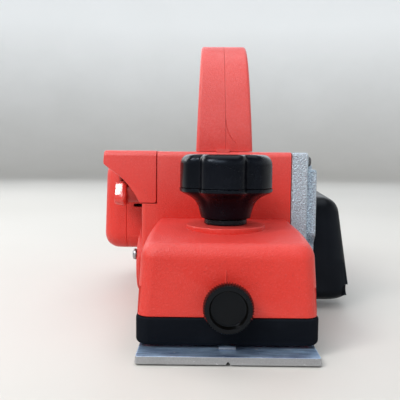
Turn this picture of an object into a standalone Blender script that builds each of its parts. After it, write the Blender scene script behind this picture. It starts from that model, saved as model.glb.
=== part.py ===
"""Hand-held electric planer, 82 mm cut. Metres, +Z up, nose towards -Y, belt side towards +X.

The origin is the centre of the rear sole's underside. Pieces are drawn in mm with Y = 0 at the
cutter drum's axis; the last section shifts them by -REAR_MID along Y and sets their pivots.
"left" in an object's name is the -X side and "right" the +X side.
"""
from math import cos, pi, radians, sin

import bmesh
import bpy
from mathutils import Matrix, Vector

for old_object in list(bpy.data.objects):
    bpy.data.objects.remove(old_object, do_unlink=True)

# ================= driving dimensions, mm =================
MM = 0.001
SOLE_HALF = 42.0                # half width of both soles
FRONT_SOLE_TOP = 3.8
REAR_SOLE_TOP = 4.0
NOSE_Y, TAIL_Y = -118.0, 172.0
REAR_SOLE_Y = 15.0              # front edge of the rear sole
REAR_MID = (REAR_SOLE_Y + TAIL_Y) / 2
DRUM = DRUM_Y, DRUM_Z = 0.0, 23.5       # cutter axis, along X
MOTOR = MOTOR_Y, MOTOR_Z = 50.0, 57.0   # motor axis, along X
KNOB = KNOB_X, KNOB_Y = 0.0, -66.0      # depth knob axis (X, Y), along Z
THUMB = THUMB_X, THUMB_Z = 0.0, 25.0    # thumb screw axis (X, Z), along Y
CORD = (1, 68)                  # power cord axis (X, Z), along Y
LOCK = (45, 140)                # lock button axis (Y, Z), along X
BRUSH = BRUSH_X, BRUSH_Y = -56.8, MOTOR_Y   # carbon brush axis, along Z
FRONT_TOP = 55.5                # top of the front housing
BODY_TOP = 95.5
BARREL_R = 34.0                 # half width of the motor barrel in Y
BARREL_FOOT, BARREL_TOP = 28.6, 91
GUIDES = ((-27, -58), (27, -58))        # guide posts of the front sole (X, Y)

# screw places: (X, Y) under the sole, (Y, Z) elsewhere
SOLE_SCREWS = ((-33, 34), (33, 34), (-30, 150), (30, 150))
CAP_SCREWS = ((-13.5, 31.0), (13.5, 16.0))
BRACKET_SCREWS = ((-19.5, 90.0), (68, 86.0))
COVER_SCREWS = ((-16, 10.2), (68, 60.5))
HANDLE_SCREWS = ((-5, 102.5), (148, 53))


# ================= materials =================
def material(name, color, rough, metal=0.0):
    made = bpy.data.materials.new(name)
    made.use_nodes = True
    inputs = made.node_tree.nodes["Principled BSDF"].inputs
    inputs["Base Color"].default_value = (*color, 1)
    inputs["Roughness"].default_value = rough
    inputs["Metallic"].default_value = metal
    return made


RED = material("red_plastic", color=(0.72, 0.055, 0.035), rough=0.45)
BLACK = material("black_plastic", color=(0.012, 0.012, 0.014), rough=0.35)
RUBBER = material("black_rubber", color=(0.012, 0.013, 0.017), rough=0.7)
CAST = material("cast_aluminium", color=(0.55, 0.57, 0.6), rough=0.45, metal=0.9)
SOLE_METAL = material("sole_aluminium", color=(0.5, 0.51, 0.53), rough=0.35, metal=0.95)
STEEL = material("bright_steel", color=(0.45, 0.45, 0.47), rough=0.25, metal=1.0)
LAMINATED = material("lamination_steel", color=(0.25, 0.25, 0.27), rough=0.5, metal=0.9)
COPPER = material("copper", color=(0.72, 0.32, 0.16), rough=0.35, metal=1.0)
CARBON = material("carbon", color=(0.03, 0.03, 0.03), rough=0.6)


# ================= outlines, mm =================
def clamp(value):
    return max(0, min(1, value))


def facets(count):
    """Facets round a circle: most counts are thinned, ten or fewer stay."""
    return count if count <= 10 else max(10, round(count * 0.68))


def circle(centre, radius, count):
    count = facets(count)
    angles = [2 * pi * i / count for i in range(count)]
    return [(centre[0] + radius * cos(t), centre[1] + radius * sin(t)) for t in angles]


def rounded_rect(x_span, y_span, radius, steps=4):
    """radius is one value or four, counter-clockwise from the corner of the two low ends."""
    radii = radius if isinstance(radius, tuple) else [radius] * 4
    points = []
    for (i, j, start), corner in zip(((0, 0, 180), (1, 0, 270), (1, 1, 0), (0, 1, 90)), radii):
        x, y = x_span[i], y_span[j]
        if corner == 0:
            points.append((x, y))
            continue
        x += corner * (1 - 2 * i)
        y += corner * (1 - 2 * j)
        for k in range(steps + 1):
            angle = radians(start + 90 * k / steps)
            points.append((x + corner * cos(angle), y + corner * sin(angle)))
    return points


def hull(circles, count=28, inset=0.0):
    """Convex outline round (first, second, radius) circles, whose radii are cut by inset."""
    shrunk = [(first, second, max(0.8, radius - inset)) for first, second, radius in circles]
    points = []
    for i in range(count):
        angle = 2 * pi * (i + 0.5) / count
        first, second, radius = max(
            shrunk, key=lambda c: c[0] * cos(angle) + c[1] * sin(angle) + c[2])
        points.append((first + radius * cos(angle), second + radius * sin(angle)))
    return points


def offset(outline, distance):
    """Moves a counter-clockwise outline inwards along its vertex normals."""
    moved = []
    for i, here in enumerate(outline):
        before, after = outline[i - 1], outline[(i + 1) % len(outline)]
        edge_in = Vector((here[0] - before[0], here[1] - before[1])).normalized()
        edge_out = Vector((after[0] - here[0], after[1] - here[1])).normalized()
        normal_in = Vector((-edge_in.y, edge_in.x))
        miter = normal_in + Vector((-edge_out.y, edge_out.x))
        if miter.length > 1e-6:
            miter = miter / max(0.35, miter.length_squared / 2)   # limits sharp corners
        else:
            miter = normal_in
        moved.append((here[0] + miter.x * distance, here[1] + miter.y * distance))
    return moved


# ================= solids; sizes in mm, unnamed ones are boolean tools =================
def to3(axis, first, second, along):
    """Point in metres: along lies on the axis, the others on the two other axes in XYZ order."""
    if axis == "X":
        return (along * MM, first * MM, second * MM)
    if axis == "Y":
        return (first * MM, along * MM, second * MM)
    return (first * MM, second * MM, along * MM)


def station(axis, outline, along):
    return [to3(axis, first, second, along) for first, second in outline]


def finish(solid, name, mat):
    """Turns a closed bmesh into a linked object with outward normals."""
    bmesh.ops.remove_doubles(solid, verts=solid.verts, dist=1e-6)
    bmesh.ops.recalc_face_normals(solid, faces=solid.faces)
    if solid.calc_volume(signed=True) < 0:
        bmesh.ops.reverse_faces(solid, faces=solid.faces)
    mesh = bpy.data.meshes.new(name)
    solid.to_mesh(mesh)
    solid.free()
    made = bpy.data.objects.new(name, mesh)
    bpy.context.scene.collection.objects.link(made)
    if mat:
        mesh.materials.append(mat)
    return made


def loft(rings, name="tool", mat=None, cyclic=False):
    """Closed body through rings of equal point count; end rings are capped unless cyclic."""
    solid = bmesh.new()
    loops = [[solid.verts.new(point) for point in points] for points in rings]
    count = len(rings[0])
    pairs = list(zip(loops[:-1], loops[1:]))
    if cyclic:
        pairs.append((loops[-1], loops[0]))
    for near, far in pairs:
        for i in range(count):
            j = (i + 1) % count
            solid.faces.new((near[i], near[j], far[j], far[i]))
    if not cyclic:
        solid.faces.new(loops[0])
        solid.faces.new(loops[-1])
    return finish(solid, name, mat)


def prism(outline, axis, start, end, name="tool", mat=None):
    return loft([station(axis, outline, along) for along in (start, end)], name, mat)


def box(x_span, y_span, z_span, name="tool", mat=None):
    (x0, x1), (y0, y1) = x_span, y_span
    return prism([(x0, y0), (x1, y0), (x1, y1), (x0, y1)], "Z", *z_span, name, mat)


def cyl(axis, centre, radius, start, end, count=24, name="tool", mat=None):
    return prism(circle(centre, radius, count), axis, start, end, name, mat)


def lathe(axis, centre, profile, count=24, name="tool", mat=None):
    """Turned solid through (radius, along) points, capped at both ends."""
    rings = [station(axis, circle(centre, radius, count), along) for radius, along in profile]
    return loft(rings, name, mat)


def hollow_lathe(axis, centre, profile, count=24, name="tool", mat=None):
    """Turned ring from a closed loop of (radius, along) points, none on the axis."""
    count = facets(count)
    rings = []
    for i in range(count):
        angle = 2 * pi * i / count
        rings.append([to3(axis, centre[0] + radius * cos(angle), centre[1] + radius * sin(angle),
                          along) for radius, along in profile])
    return loft(rings, name, mat, cyclic=True)


def boolean(body, tools, operation):
    """Applies the tools one after another and removes them."""
    for tool in tools:
        modifier = body.modifiers.new("b", "BOOLEAN")
        modifier.operation = operation
        modifier.solver = "EXACT"
        modifier.object = tool
        bpy.context.view_layer.update()
        depsgraph = bpy.context.evaluated_depsgraph_get()
        mesh = bpy.data.meshes.new_from_object(body.evaluated_get(depsgraph))
        body.modifiers.clear()
        old_mesh = body.data
        body.data = mesh
        bpy.data.meshes.remove(old_mesh)
        bpy.data.objects.remove(tool, do_unlink=True)


def cut(body, *tools):
    boolean(body, tools, "DIFFERENCE")


def add(body, *tools):
    boolean(body, tools, "UNION")


def drill(body, axis, places, radius, start, end, count=12):
    for place in places:
        cut(body, cyl(axis, place, radius, start, end, count))


def turn(body, centre, angle):
    """Turns a body about the line along X through centre (Y, Z)."""
    shift = Matrix.Translation((0, centre[0] * MM, centre[1] * MM))
    body.data.transform(shift @ Matrix.Rotation(angle, 4, "X") @ shift.inverted())


def smooth(body, angle=35):
    body.data.shade_smooth()
    body.data.set_sharp_from_angle(angle=radians(angle))


# ================= main housing =================
FRONT_FOOT = 18.4       # underside of the front housing
BRACKET_SEAT_X = 40.2   # +X face of the body
CHAMBER_X = -42.3       # -X wall of the cutter chamber
DUCT_Y = (-24.8, 9)
# z, half width, y of the nose face, radius of the nose corners
FRONT_STATIONS = (
    (FRONT_FOOT, 42.8, -106.8, 6), (48.4, 41.0, -105.8, 6), (51.4, 40.4, -105.1, 7),
    (53.6, 39.2, -103.9, 7), (55.0, 37.4, -102.1, 7), (FRONT_TOP, 35.4, -100.2, 7))
# (Y, Z) side outline of the body
BODY = [(-28, 5.2), (14, 5.2), (14, 4.3), (88, 4.3), (88, 57), (86, 72), (78, 86),
        (64, BODY_TOP), (-25, BODY_TOP), (-27.2, 94.6), (-28, 92.4)]
BARREL = rounded_rect((MOTOR_Y - BARREL_R, MOTOR_Y + BARREL_R), (BARREL_FOOT, BARREL_TOP), 12, 5)


def front_housing():
    """Tapered box whose top falls away in a curve towards the nose."""
    rings = [station("Z", rounded_rect((-half, half), (nose, -20), (corner, corner, 0, 0), 3), z)
             for z, half, nose, corner in FRONT_STATIONS]
    body = loft(rings, "main_housing", RED)
    mesh = bmesh.new()
    mesh.from_mesh(body.data)
    for y in (-62, -70, -77, -84, -90, -96):
        bmesh.ops.bisect_plane(mesh, geom=mesh.verts[:] + mesh.edges[:] + mesh.faces[:],
                               plane_co=(0, y * MM, 0), plane_no=(0, 1, 0))
    for vert in mesh.verts:
        y, z = vert.co.y / MM, vert.co.z / MM
        if y < -55.5 and z > 19:
            height = (z - FRONT_FOOT) / (FRONT_TOP - FRONT_FOOT)
            vert.co.z -= 1.2 * ((-55 - y) / 31.7) ** 2.5 * height * MM
    bmesh.ops.triangulate(mesh, faces=mesh.faces)
    mesh.to_mesh(body.data)
    mesh.free()
    return body


housing = front_housing()
add(housing,
    prism(rounded_rect((-39.7, 39.7), (-104.4, -20), (4, 4, 0, 0), 3), "Z", 5.2, 20),  # lower lip
    prism(BODY, "X", -49, BRACKET_SEAT_X),
    prism(BARREL, "X", -64, -40),
    prism(hull([(DRUM_Y, DRUM_Z + 2.5, 21)]), "X", -52.2, -45),       # drum bearing boss
    prism(rounded_rect((-40, 40), (80, 166), (0, 0, 10, 10), 3), "Z", 4.3, 44),   # rear part
    cyl("Z", KNOB, 20.7, FRONT_TOP - 3, FRONT_TOP + 1.7, 40))         # disc under the knob
cut(housing,
    box((BRACKET_SEAT_X, 60), (-28.4, 100), (0, 100)),
    box((-37.2, 37.2), (-102.2, -31), (0, 48.4)),   # front room
    box((-4.6, 4.6), (-110, -100), (0, 6.4)))       # slot for the front sole's lug
add(housing, box((-20, 20), (-99.2, -96.7), (10, 50)),     # rib behind the nose wall
    *[cyl("Z", guide, 7, 28, 53) for guide in GUIDES])
drill(housing, "Z", GUIDES, 4.3, 20, 49, 24)
cut(housing,
    cyl("Z", KNOB, 6.0, 45, 62),                    # depth stud hole
    cyl("Z", KNOB, 9.6, 45, 52.5),                  # spring seat
    box((-50, 50), (-103.5, -99.5), (18.5, 32)),    # cross slot behind the nose face
    cyl("Y", THUMB, 3.3, -110, -95),                # thumb screw hole
    cyl("X", DRUM, 27, CHAMBER_X, 45, 40),          # cutter chamber
    box((CHAMBER_X, 45), (-14.7, 14.7), (0, 23)),   # mouth
    box((-46, 28), DUCT_Y, (30, 92)),               # chip duct
    box((-56, -45), DUCT_Y, (67, 92)),              # chip exit
    box((-50, -39.7), (-30, -24.9), (64.2, 97)),    # front seat of the chip cover
    box((-50, -39.7), (-26, 9.3), (92.6, 97)),      # top seat of the chip cover
    cyl("X", MOTOR, 30.2, -46.5, 45, 48),           # motor bore, wide part
    cyl("X", MOTOR, 27.0, -70, -46, 48),            # motor bore, narrow part
    cyl("X", DRUM, 11.3, -55, -42),                 # drum bearing bore
    cyl("X", DRUM, 18.8, -55, -50.4),               # bearing cap seat
    box((-37, 37), (91, 163), (0, 41)))             # rear room
add(housing, *[cyl("Z", place, 5, 4.3, 42, 16) for place in SOLE_SCREWS[2:]])   # rear posts
drill(housing, "Z", SOLE_SCREWS, 2.3, 0, 14.5)
drill(housing, "X", CAP_SCREWS, 1.9, -60, -44.5)
drill(housing, "X", BRACKET_SCREWS, 2.3, 29.5, 45)
for side in (1, -1):    # brush cap seats
    cut(housing, cyl("Z", BRUSH, 6.7, MOTOR_Z + side * 20, MOTOR_Z + side * 40))
smooth(housing)

# ================= front skirt =================
skirt = prism(rounded_rect((-43.2, 43.2), (-107.4, -28.4), (6, 6, 0, 0)), "Z", 5.0, 18.1,
              "front_skirt", RUBBER)
cut(skirt, prism(rounded_rect((-40.0, 40.0), (-104.7, -20), (3.7, 3.7, 0, 0), 3), "Z", 0, 30),
    box((-4.2, 4.2), (-112, -100), (0, 6.1)))      # slot for the front sole's lug
smooth(skirt)

# ================= rear sole =================
# (radius, z) of the countersunk hole and of the screw in it
COUNTERSINK = [(4.6, -0.5), (4.6, 0.2), (2.4, 2.6), (2.4, 6)]
SOLE_SCREW = [(4.0, 0.35), (4.0, 0.55), (2.0, 2.6), (2.0, 14)]
rear_sole = box((-SOLE_HALF, SOLE_HALF), (REAR_SOLE_Y, TAIL_Y), (0, REAR_SOLE_TOP),
                "rear_sole", SOLE_METAL)
for i, place in enumerate(SOLE_SCREWS):
    cut(rear_sole, lathe("Z", place, COUNTERSINK, 16))
    smooth(lathe("Z", place, SOLE_SCREW, 12, f"rear_sole_screw_{i + 1}", STEEL))

# ================= chip cover =================
# (X, Z) outline of the front wall, its lower -X corner cut away
CHIP_WALL = [(-72, 87.8), (-63.8, 81.6), (-58.8, 77), (-54.7, 71.7), (-50.2, 64.5),
             (-40, 64.5), (-40, 95.9), (-71, 95.9)]
# (Y, Z) outline of the curved floor
SCOOP = [(-20.5, 75.6), (-24.6, 73), (-25.5, 69.5), (-22.6, 65.3), (-17, 63.3), (9, 63.3),
         (9, 65.3), (-16, 65.5), (-20.6, 67.3), (-22.3, 70), (-21.6, 72.6), (-18.9, 75.2)]
chip_cover = prism(CHIP_WALL, "Y", -27.9, -25.2, "chip_cover", RED)
add(chip_cover,
    box((-70.7, -40.2), (-27, 8.8), (93, 95.7)),    # top
    box((-69, -49.6), (6, 8.6), (64.2, 95)),        # back
    prism(SCOOP, "X", -65.2, -49.8))
smooth(chip_cover)

# ================= motor end cover =================
# x, inset of the barrel outline
END_STATIONS = ((-64.3, 0), (-69, 0), (-72.6, 0.7), (-75.6, 2.6), (-77.4, 5.6), (-78, 9.0))


def end_cover_ring(x, inset):
    """The end face leans out towards its foot."""
    first_x, last_x = END_STATIONS[0][0], END_STATIONS[-1][0]
    reach = clamp((first_x - x) / (first_x - last_x))
    points = []
    for y, z in offset(BARREL, inset):
        lean = 0.2 + 2.2 * (BARREL_TOP - z) / (BARREL_TOP - BARREL_FOOT)
        points.append(to3("X", y, z, x - lean * reach))
    return points


end_cover = loft([end_cover_ring(*entry) for entry in END_STATIONS], "motor_end_cover", RED)
cut(end_cover, cyl("X", MOTOR, 26.5, -67.5, -60, 32), cyl("X", MOTOR, 11.3, -75.5, -60))
for side in (-1, 1):    # three vent slots above the motor axis and three below
    for i in (1, 2, 3):
        half, middle = 15 - i * 1.6, MOTOR_Z + side * (i * 6 + 3)
        cut(end_cover, box((-90, -60), (MOTOR_Y - half, MOTOR_Y + half),
                           (middle - 1.4, middle + 1.4)))
smooth(end_cover)

# ================= bearing bracket =================
# (Y, Z) outlines of the plate and of the raised pad on its +X face
BRACKET = [(-28, 92.8), (-28, 20), (-26, 9.5), (-21, 4.9), (14, 4.9), (40, 14), (70, 26),
           (84, 42), (86, 56), (84, 72), (75, 86), (60, 95.7), (-25, 95.7), (-27.4, 94.9)]
PAD = [(-25.5, 85.3), (-27, 83.8), (-27, 46), (-22, 40), (-22, 9), (-19, 5.1), (14, 5.1),
       (38, 15), (66, 28), (79, 42), (81, 56), (79, 70), (71, 82), (60, 88.5), (-9, 88.5),
       (-12.5, 85.3)]
BRACKET_FACE = 50.4     # +X face of the plate
bracket = prism(BRACKET, "X", 40.5, BRACKET_FACE, "bearing_bracket", CAST)
add(bracket, prism(PAD, "X", 49, 55.7))
cut(bracket,
    cyl("X", DRUM, 13.3, 40, 49.2, 28),     # drum bearing seat
    cyl("X", DRUM, 8, 40, 60, 20),
    cyl("X", MOTOR, 27, 40, 43.2, 32),      # recess facing the motor
    cyl("X", MOTOR, 11.3, 40, 50.5),        # motor bearing seat
    cyl("X", MOTOR, 7, 40, 60, 20))
drill(bracket, "X", COVER_SCREWS, 2.1, 44, 60)
for place in BRACKET_SCREWS:
    cut(bracket, cyl("X", place, 2.3, 40, 60, 12), cyl("X", place, 4.2, BRACKET_FACE, 60, 16))
smooth(bracket)

# ================= belt cover =================
# (Y, Z, radius) of the circles that the outline wraps
COVER_CIRCLES = [(*DRUM, 18.0), (-9.4, 11.2, 8.6), (7, 54, 13.0), (*MOTOR, 12.4),
                 (*COVER_SCREWS[0], 5.2), (*COVER_SCREWS[1], 5.0)]
# x, inset
COVER_STATIONS = ((56.0, 0), (66.8, 0), (71.4, 0.7), (75.3, 2.6), (78.0, 5.8), (78.8, 9.0))
# radius at the drum, radius at the motor, outline points, start x, end x
COVER_HOLLOWS = ((15.8, 10.6, 28, 50, 69.6), (14.4, 9.0, 24, 69, 71.2), (10.0, 6.0, 20, 70, 73.4))


def belt_cover_ring(x, inset):
    """The inset is halved along the lower edge; the +X face leans in towards its top."""
    first_x, last_x = COVER_STATIONS[0][0], COVER_STATIONS[-1][0]
    points = []
    for full, small in zip(hull(COVER_CIRCLES, 36), hull(COVER_CIRCLES, 36, inset)):
        share = 0.5 + 0.5 * clamp((full[1] - 20) / 25)
        y, z = (full[i] + (small[i] - full[i]) * share for i in (0, 1))
        lean = 3.0 * (z - 5) / 65 * (x - first_x) / (last_x - first_x)
        points.append(to3("X", y, z, x - lean))
    return points


belt_cover = loft([belt_cover_ring(*entry) for entry in COVER_STATIONS], "belt_cover", BLACK)
for drum_r, motor_r, count, start, end in COVER_HOLLOWS:
    cut(belt_cover, prism(hull([(*DRUM, drum_r), (*MOTOR, motor_r)], count), "X", start, end))
for place in COVER_SCREWS:
    cut(belt_cover, cyl("X", place, 2.1, 50, 90, 12), cyl("X", place, 3.7, 69.5, 90, 16))
smooth(belt_cover)

# ================= drum bearing cap =================
cap = lathe("X", DRUM, [(18.4, -50.7), (18.4, -52.6), (17.4, -53.6), (8.5, -53.6), (7.5, -53.0)],
            32, "drum_bearing_cap", RED)
drill(cap, "X", CAP_SCREWS, 1.9, -60, -44)
smooth(cap)

# ================= side screws, along X =================
# name, places, shank radius, tip x, seat x, head radius, rim x, crown radius, crown x
SIDE_SCREWS = (
    ("bracket_screw", BRACKET_SCREWS, 2.0, 31, 50.7, 3.2, 52.3, 2.2, 53.2),
    ("belt_cover_screw", COVER_SCREWS, 1.8, 45, 69.8, 3.3, 71.6, 2.4, 72.5),
    ("bearing_cap_screw", CAP_SCREWS, 1.6, -45.5, -53.9, 3.4, -55.0, 2.2, -56.1),
    ("handle_screw", HANDLE_SCREWS, 1.6, -7, 12.8, 3.4, 14.2, 2.4, 15.0))
for name, places, shank, tip, seat, head, rim, crown, crown_x in SIDE_SCREWS:
    profile = [(shank, tip), (shank, seat), (head, seat), (head, rim), (crown, crown_x)]
    for i, place in enumerate(places):
        smooth(lathe("X", place, profile, 12, f"{name}_{i + 1}", STEEL))

# ================= bearings =================
# name, axis, start x, end x, outer radius, bore radius
BEARINGS = (
    ("drum_bearing_left", DRUM, -49.3, -42.6, 11, 4),
    ("drum_bearing_right", DRUM, 41.0, 48.9, 13, 5),
    ("motor_bearing_left", MOTOR, -75.2, -68.2, 11, 4),
    ("motor_bearing_right", MOTOR, 43.2, 50.2, 11, 4))
for name, centre, start, end, outer, bore in BEARINGS:
    profile = [(bore, start), (outer, start), (outer, end), (bore, end)]
    smooth(hollow_lathe("X", centre, profile, 24, name, STEEL))

# ================= stator, field coils, brushes =================
stator = hollow_lathe("X", MOTOR, [(17.8, -34), (29.2, -34), (29.2, 12), (17.8, 12)],
                      32, "stator", LAMINATED)
for side, level in ((1, "upper"), (-1, "lower")):
    cut(stator, box((-40, 20), (MOTOR_Y - 10, MOTOR_Y + 10),
                    (MOTOR_Z + side * 13, MOTOR_Z + side * 24.5)))
    prism(rounded_rect((-37, 15), (MOTOR_Y - 9.6, MOTOR_Y + 9.6), 4, 3), "Z",
          MOTOR_Z + side * 18.6, MOTOR_Z + side * 24.2, f"field_coil_{level}", COPPER)
    box((BRUSH_X - 3, BRUSH_X + 3), (BRUSH_Y - 4, BRUSH_Y + 4),
        (MOTOR_Z + side * 11.6, MOTOR_Z + side * 24), f"carbon_brush_{level}", CARBON)
    profile = [(radius, MOTOR_Z + side * rise)
               for radius, rise in ((6.4, 24.4), (6.4, 27.5), (5.8, 28.1))]
    smooth(lathe("Z", BRUSH, profile, 20, f"brush_cap_{level}", BLACK))

# ================= handle, two hollow shells =================
HANDLE_X = 0.3          # centre line
HANDLE_HALF = 17.0      # half width at the foot
SPLIT_X = 1.3           # parting plane
SPLIT_GAP = 0.15        # from the parting plane to each shell
GRIP_LEAN = 0.35        # the top of the grip sits this far towards -X
SPLIT_LEAN = 1.3        # and its parting plane this far
# (Y, Z) outline, counter-clockwise: along the underside, then back over the grip
HANDLE = [
    (-24, 95.9), (14, 95.9), (13, 104), (14.5, 115), (19, 123), (30, 127.5), (50, 125),
    (78, 116.5), (100, 105), (116, 92), (126, 76), (129.5, 60), (128, 44.3), (165.5, 44.3),
    (165, 60), (158, 82), (145, 104), (125, 123), (100, 139), (70, 152.5), (40, 161),
    (18, 164), (5, 162.8), (-6, 158), (-14.5, 149), (-20.5, 135), (-23.7, 118), (-24.6, 105)]


def handle_ring(x, outline, at_split=False):
    """The grip narrows and leans with height; the parting plane only leans."""
    points = []
    for y, z in outline:
        rise = clamp((z - 96) / 64)
        if at_split:
            ring_x = x - SPLIT_LEAN * rise
        else:
            ring_x = HANDLE_X + (x - HANDLE_X) * (1 - 0.16 * rise) - GRIP_LEAN * rise
        points.append(to3("X", y, z, ring_x))
    return points


def handle_shell(name, side):
    """One shell, from its inner floor over the rim to the rounded outer face."""
    outer_x = HANDLE_X + side * HANDLE_HALF
    split_x = SPLIT_X + side * SPLIT_GAP
    inner = offset(HANDLE, 3.2)
    shell = loft([
        handle_ring(outer_x - side * 3.4, inner),
        handle_ring(split_x, inner, at_split=True),
        handle_ring(split_x, HANDLE, at_split=True),
        handle_ring(outer_x - side * 3.2, HANDLE),
        handle_ring(outer_x - side * 1.0, offset(HANDLE, 1.0)),
        handle_ring(outer_x, offset(HANDLE, 3.4))], name, RED)
    cut(shell, box((-3.5, 6.5), (27, 66), (110, 134)),      # trigger slot
        cyl("Y", CORD, 5.9, 150, 175, 20))
    return shell


left_shell = handle_shell("handle_left", -1)
right_shell = handle_shell("handle_right", 1)
cut(left_shell, cyl("X", LOCK, 4.4, -30, -5, 16))
for place in HANDLE_SCREWS:
    add(left_shell, cyl("X", place, 4.2, -15, SPLIT_X - SPLIT_GAP, 14))
    add(right_shell, cyl("X", place, 4.2, SPLIT_X + SPLIT_GAP, 15.2, 14))
    cut(left_shell, cyl("X", place, 1.9, -9, 6, 12))
    cut(right_shell, cyl("X", place, 1.9, -9, 20, 12), cyl("X", place, 4.0, 12.5, 25, 16))
smooth(left_shell)
smooth(right_shell)

# ================= switch, trigger, lock button, cord =================
# (Y, Z) side outline
TRIGGER = [(28.5, 121), (33, 116.5), (42, 116.2), (56, 119.5), (64.5, 124.5), (65, 129.5),
           (56, 131), (28.5, 131)]
# (radius, y)
CORD_GUARD = [(3.8, 152), (8, 152), (8, 156), (5.5, 156), (5.5, 166.5), (7.2, 166.5),
              (7.2, 170), (5.0, 196), (3.8, 196)]
box((-6, 9), (28, 62), (136.5, 151), "switch_body", BLACK)
prism(TRIGGER, "X", -3, 6, "trigger", BLACK)
smooth(lathe("X", LOCK, [(4.0, -15.7), (4.0, -9.2), (3.0, -8.8)], 16, "lock_button", BLACK))
smooth(hollow_lathe("Y", CORD, CORD_GUARD, 24, "cord_guard", RUBBER))
smooth(lathe("Y", CORD, [(3.4, 146), (3.4, 246)], 16, "power_cord", RUBBER))

# ================= front sole =================
# (X, Z) of the groove along the middle of the underside
GROOVE = [(-1.5, -0.5), (1.5, -0.5), (1.1, 0), (0.3, 1.5), (-0.3, 1.5), (-1.1, 0)]
front_sole = box((-SOLE_HALF, SOLE_HALF), (NOSE_Y, -15), (0, FRONT_SOLE_TOP),
                 "front_sole", SOLE_METAL)
add(front_sole, cyl("Z", KNOB, 9, 2, 26),           # column round the stud
    *[cyl("Z", guide, 4, 2, 46) for guide in GUIDES],
    box((-3.9, 3.9), (-108.4, -105.5), (2, 4.8)))   # lug
cut(front_sole, cyl("Z", KNOB, 4.3, 5, 30, 20), prism(GROOVE, "Y", -130, 0))
smooth(front_sole)


# ================= depth stud and spring =================
def coil(centre, z_span, radius, wire_radius, turns, turn_steps, name, mat):
    """Round spring of four-sided wire."""
    steps = turns * turn_steps
    low, high = z_span
    rings = []
    for i in range(steps + 1):
        angle = 2 * pi * turns * i / steps
        z = low + wire_radius + (high - low - 2 * wire_radius) * i / steps
        radial = Vector((cos(angle), sin(angle), 0))
        middle = Vector((*centre, z)) + radial * radius
        rings.append([tuple((middle + radial * wire_radius * cos(around)
                             + Vector((0, 0, wire_radius * sin(around)))) * MM)
                      for around in (0, pi / 2, pi, 3 * pi / 2)])
    smooth(loft(rings, name, mat), 60)


smooth(lathe("Z", KNOB, [(3.4, 5.6), (4.0, 6.4), (4.0, 74), (3.2, 75)], 16, "depth_stud", STEEL))
coil(KNOB, (26.4, 52.1), radius=6.9, wire_radius=0.8, turns=4, turn_steps=10,
     name="sole_spring", mat=STEEL)

# ================= depth scale ring and knob =================
LOBES = 5
FLUTE_DEPTH = 3.0
# radius, z, share of the flute depth
KNOB_BASE = [(13.3, 60.8, 0), (13.9, 61.6, 0), (14.8, 65.1, 0), (16.9, 69.4, 0.2),
             (19, 71.8, 0.4), (22.3, 73.7, 0.8), (24.5, 75, 1), (24.5, 76.4, 1)]
KNOB_CAP = [(24.2, 76.75, 1), (24.2, 88.5, 1), (23.1, 91.6, 1), (20.8, 93.4, 0.8),
            (17.5, 94.0, 0.4)]


def lobed(radius, share, count=40):
    points = []
    for i in range(count):
        angle = 2 * pi * i / count
        crest = 0.5 + 0.5 * cos(LOBES * (angle + pi / 2 + radians(6.5)))  # 1 on a lobe, 0 in a flute
        reach = radius - share * FLUTE_DEPTH * (1 - crest) ** 4
        points.append((KNOB_X + reach * cos(angle), KNOB_Y + reach * sin(angle)))
    return points


def knob_part(profile, bore, name):
    part = loft([station("Z", lobed(radius, share), z) for radius, z, share in profile],
                name, BLACK)
    cut(part, bore)
    smooth(part)


smooth(hollow_lathe("Z", KNOB, [(6.0, 57.6), (11.2, 57.6), (11.2, 60.3), (6.0, 60.3)],
                    32, "depth_scale_ring", BLACK))
knob_part(KNOB_BASE, cyl("Z", KNOB, 4.6, 50, 80, 20), "knob_base")
knob_part(KNOB_CAP, cyl("Z", KNOB, 8, 70, 84, 20), "knob_cap")

# ================= fence thumb screw =================
# (radius, y)
THUMB_KNOB = [(6, -109.0), (6, -111.2), (11.3, -111.2), (11.5, -111.8), (11.5, -117.2),
              (11.0, -118.0), (8.8, -118.0), (7.6, -116.8)]
thumb_knob = lathe("Y", THUMB, THUMB_KNOB, 40, "thumb_knob", BLACK)
cut(thumb_knob, cyl("Y", THUMB, 3.1, -115, -100, 16))
smooth(thumb_knob)
smooth(lathe("Y", THUMB, [(2.8, -114.7), (2.8, -104.6), (2.0, -103.9)], 16,
             "thumb_screw", STEEL))

# ================= cutter drum =================
# (Y, Z) sections at the bottom of the drum
BLADE = [(3.2, 0.12), (4.6, 1.9), (4.6, 8.2), (3.2, 8.2)]
CLAMP = [(-4.9, 3.4), (-3.6, 2.6), (1.8, 2.6), (2.9, 3.6), (2.9, 9.6), (-4.9, 9.6)]
# (radius, x)
DRUM_SHAFT = [(3.7, -49.0), (3.7, -42.2), (6.0, -42.0), (6.0, 40.6), (4.7, 40.7),
              (4.7, 72.0), (4.2, 72.7)]
drum = cyl("X", DRUM, 21.4, -41, 40, 36, "drum_body", CAST)
cut(drum, cyl("X", DRUM, 6.3, -50, 50, 20))
for number in (1, 2):   # the second set is opposite the first
    slot = box((-50, 50), (-5.2, 5.2), (-2, 10))
    blade = prism(BLADE, "X", -41, 40.0, f"blade_{number}", STEEL)
    clamp_bar = prism(CLAMP, "X", -40.5, 39.5, f"blade_clamp_{number}", LAMINATED)
    for x in (-27, 0, 27):
        add(clamp_bar, cyl("Z", (x, -0.8), 2.6, 1.2, 6, 6))    # hexagonal bolt
    if number == 2:
        for piece in (slot, blade, clamp_bar):
            turn(piece, DRUM, pi)
    cut(drum, slot)
smooth(drum)
smooth(lathe("X", DRUM, DRUM_SHAFT, 20, "drum_shaft", STEEL))


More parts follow.
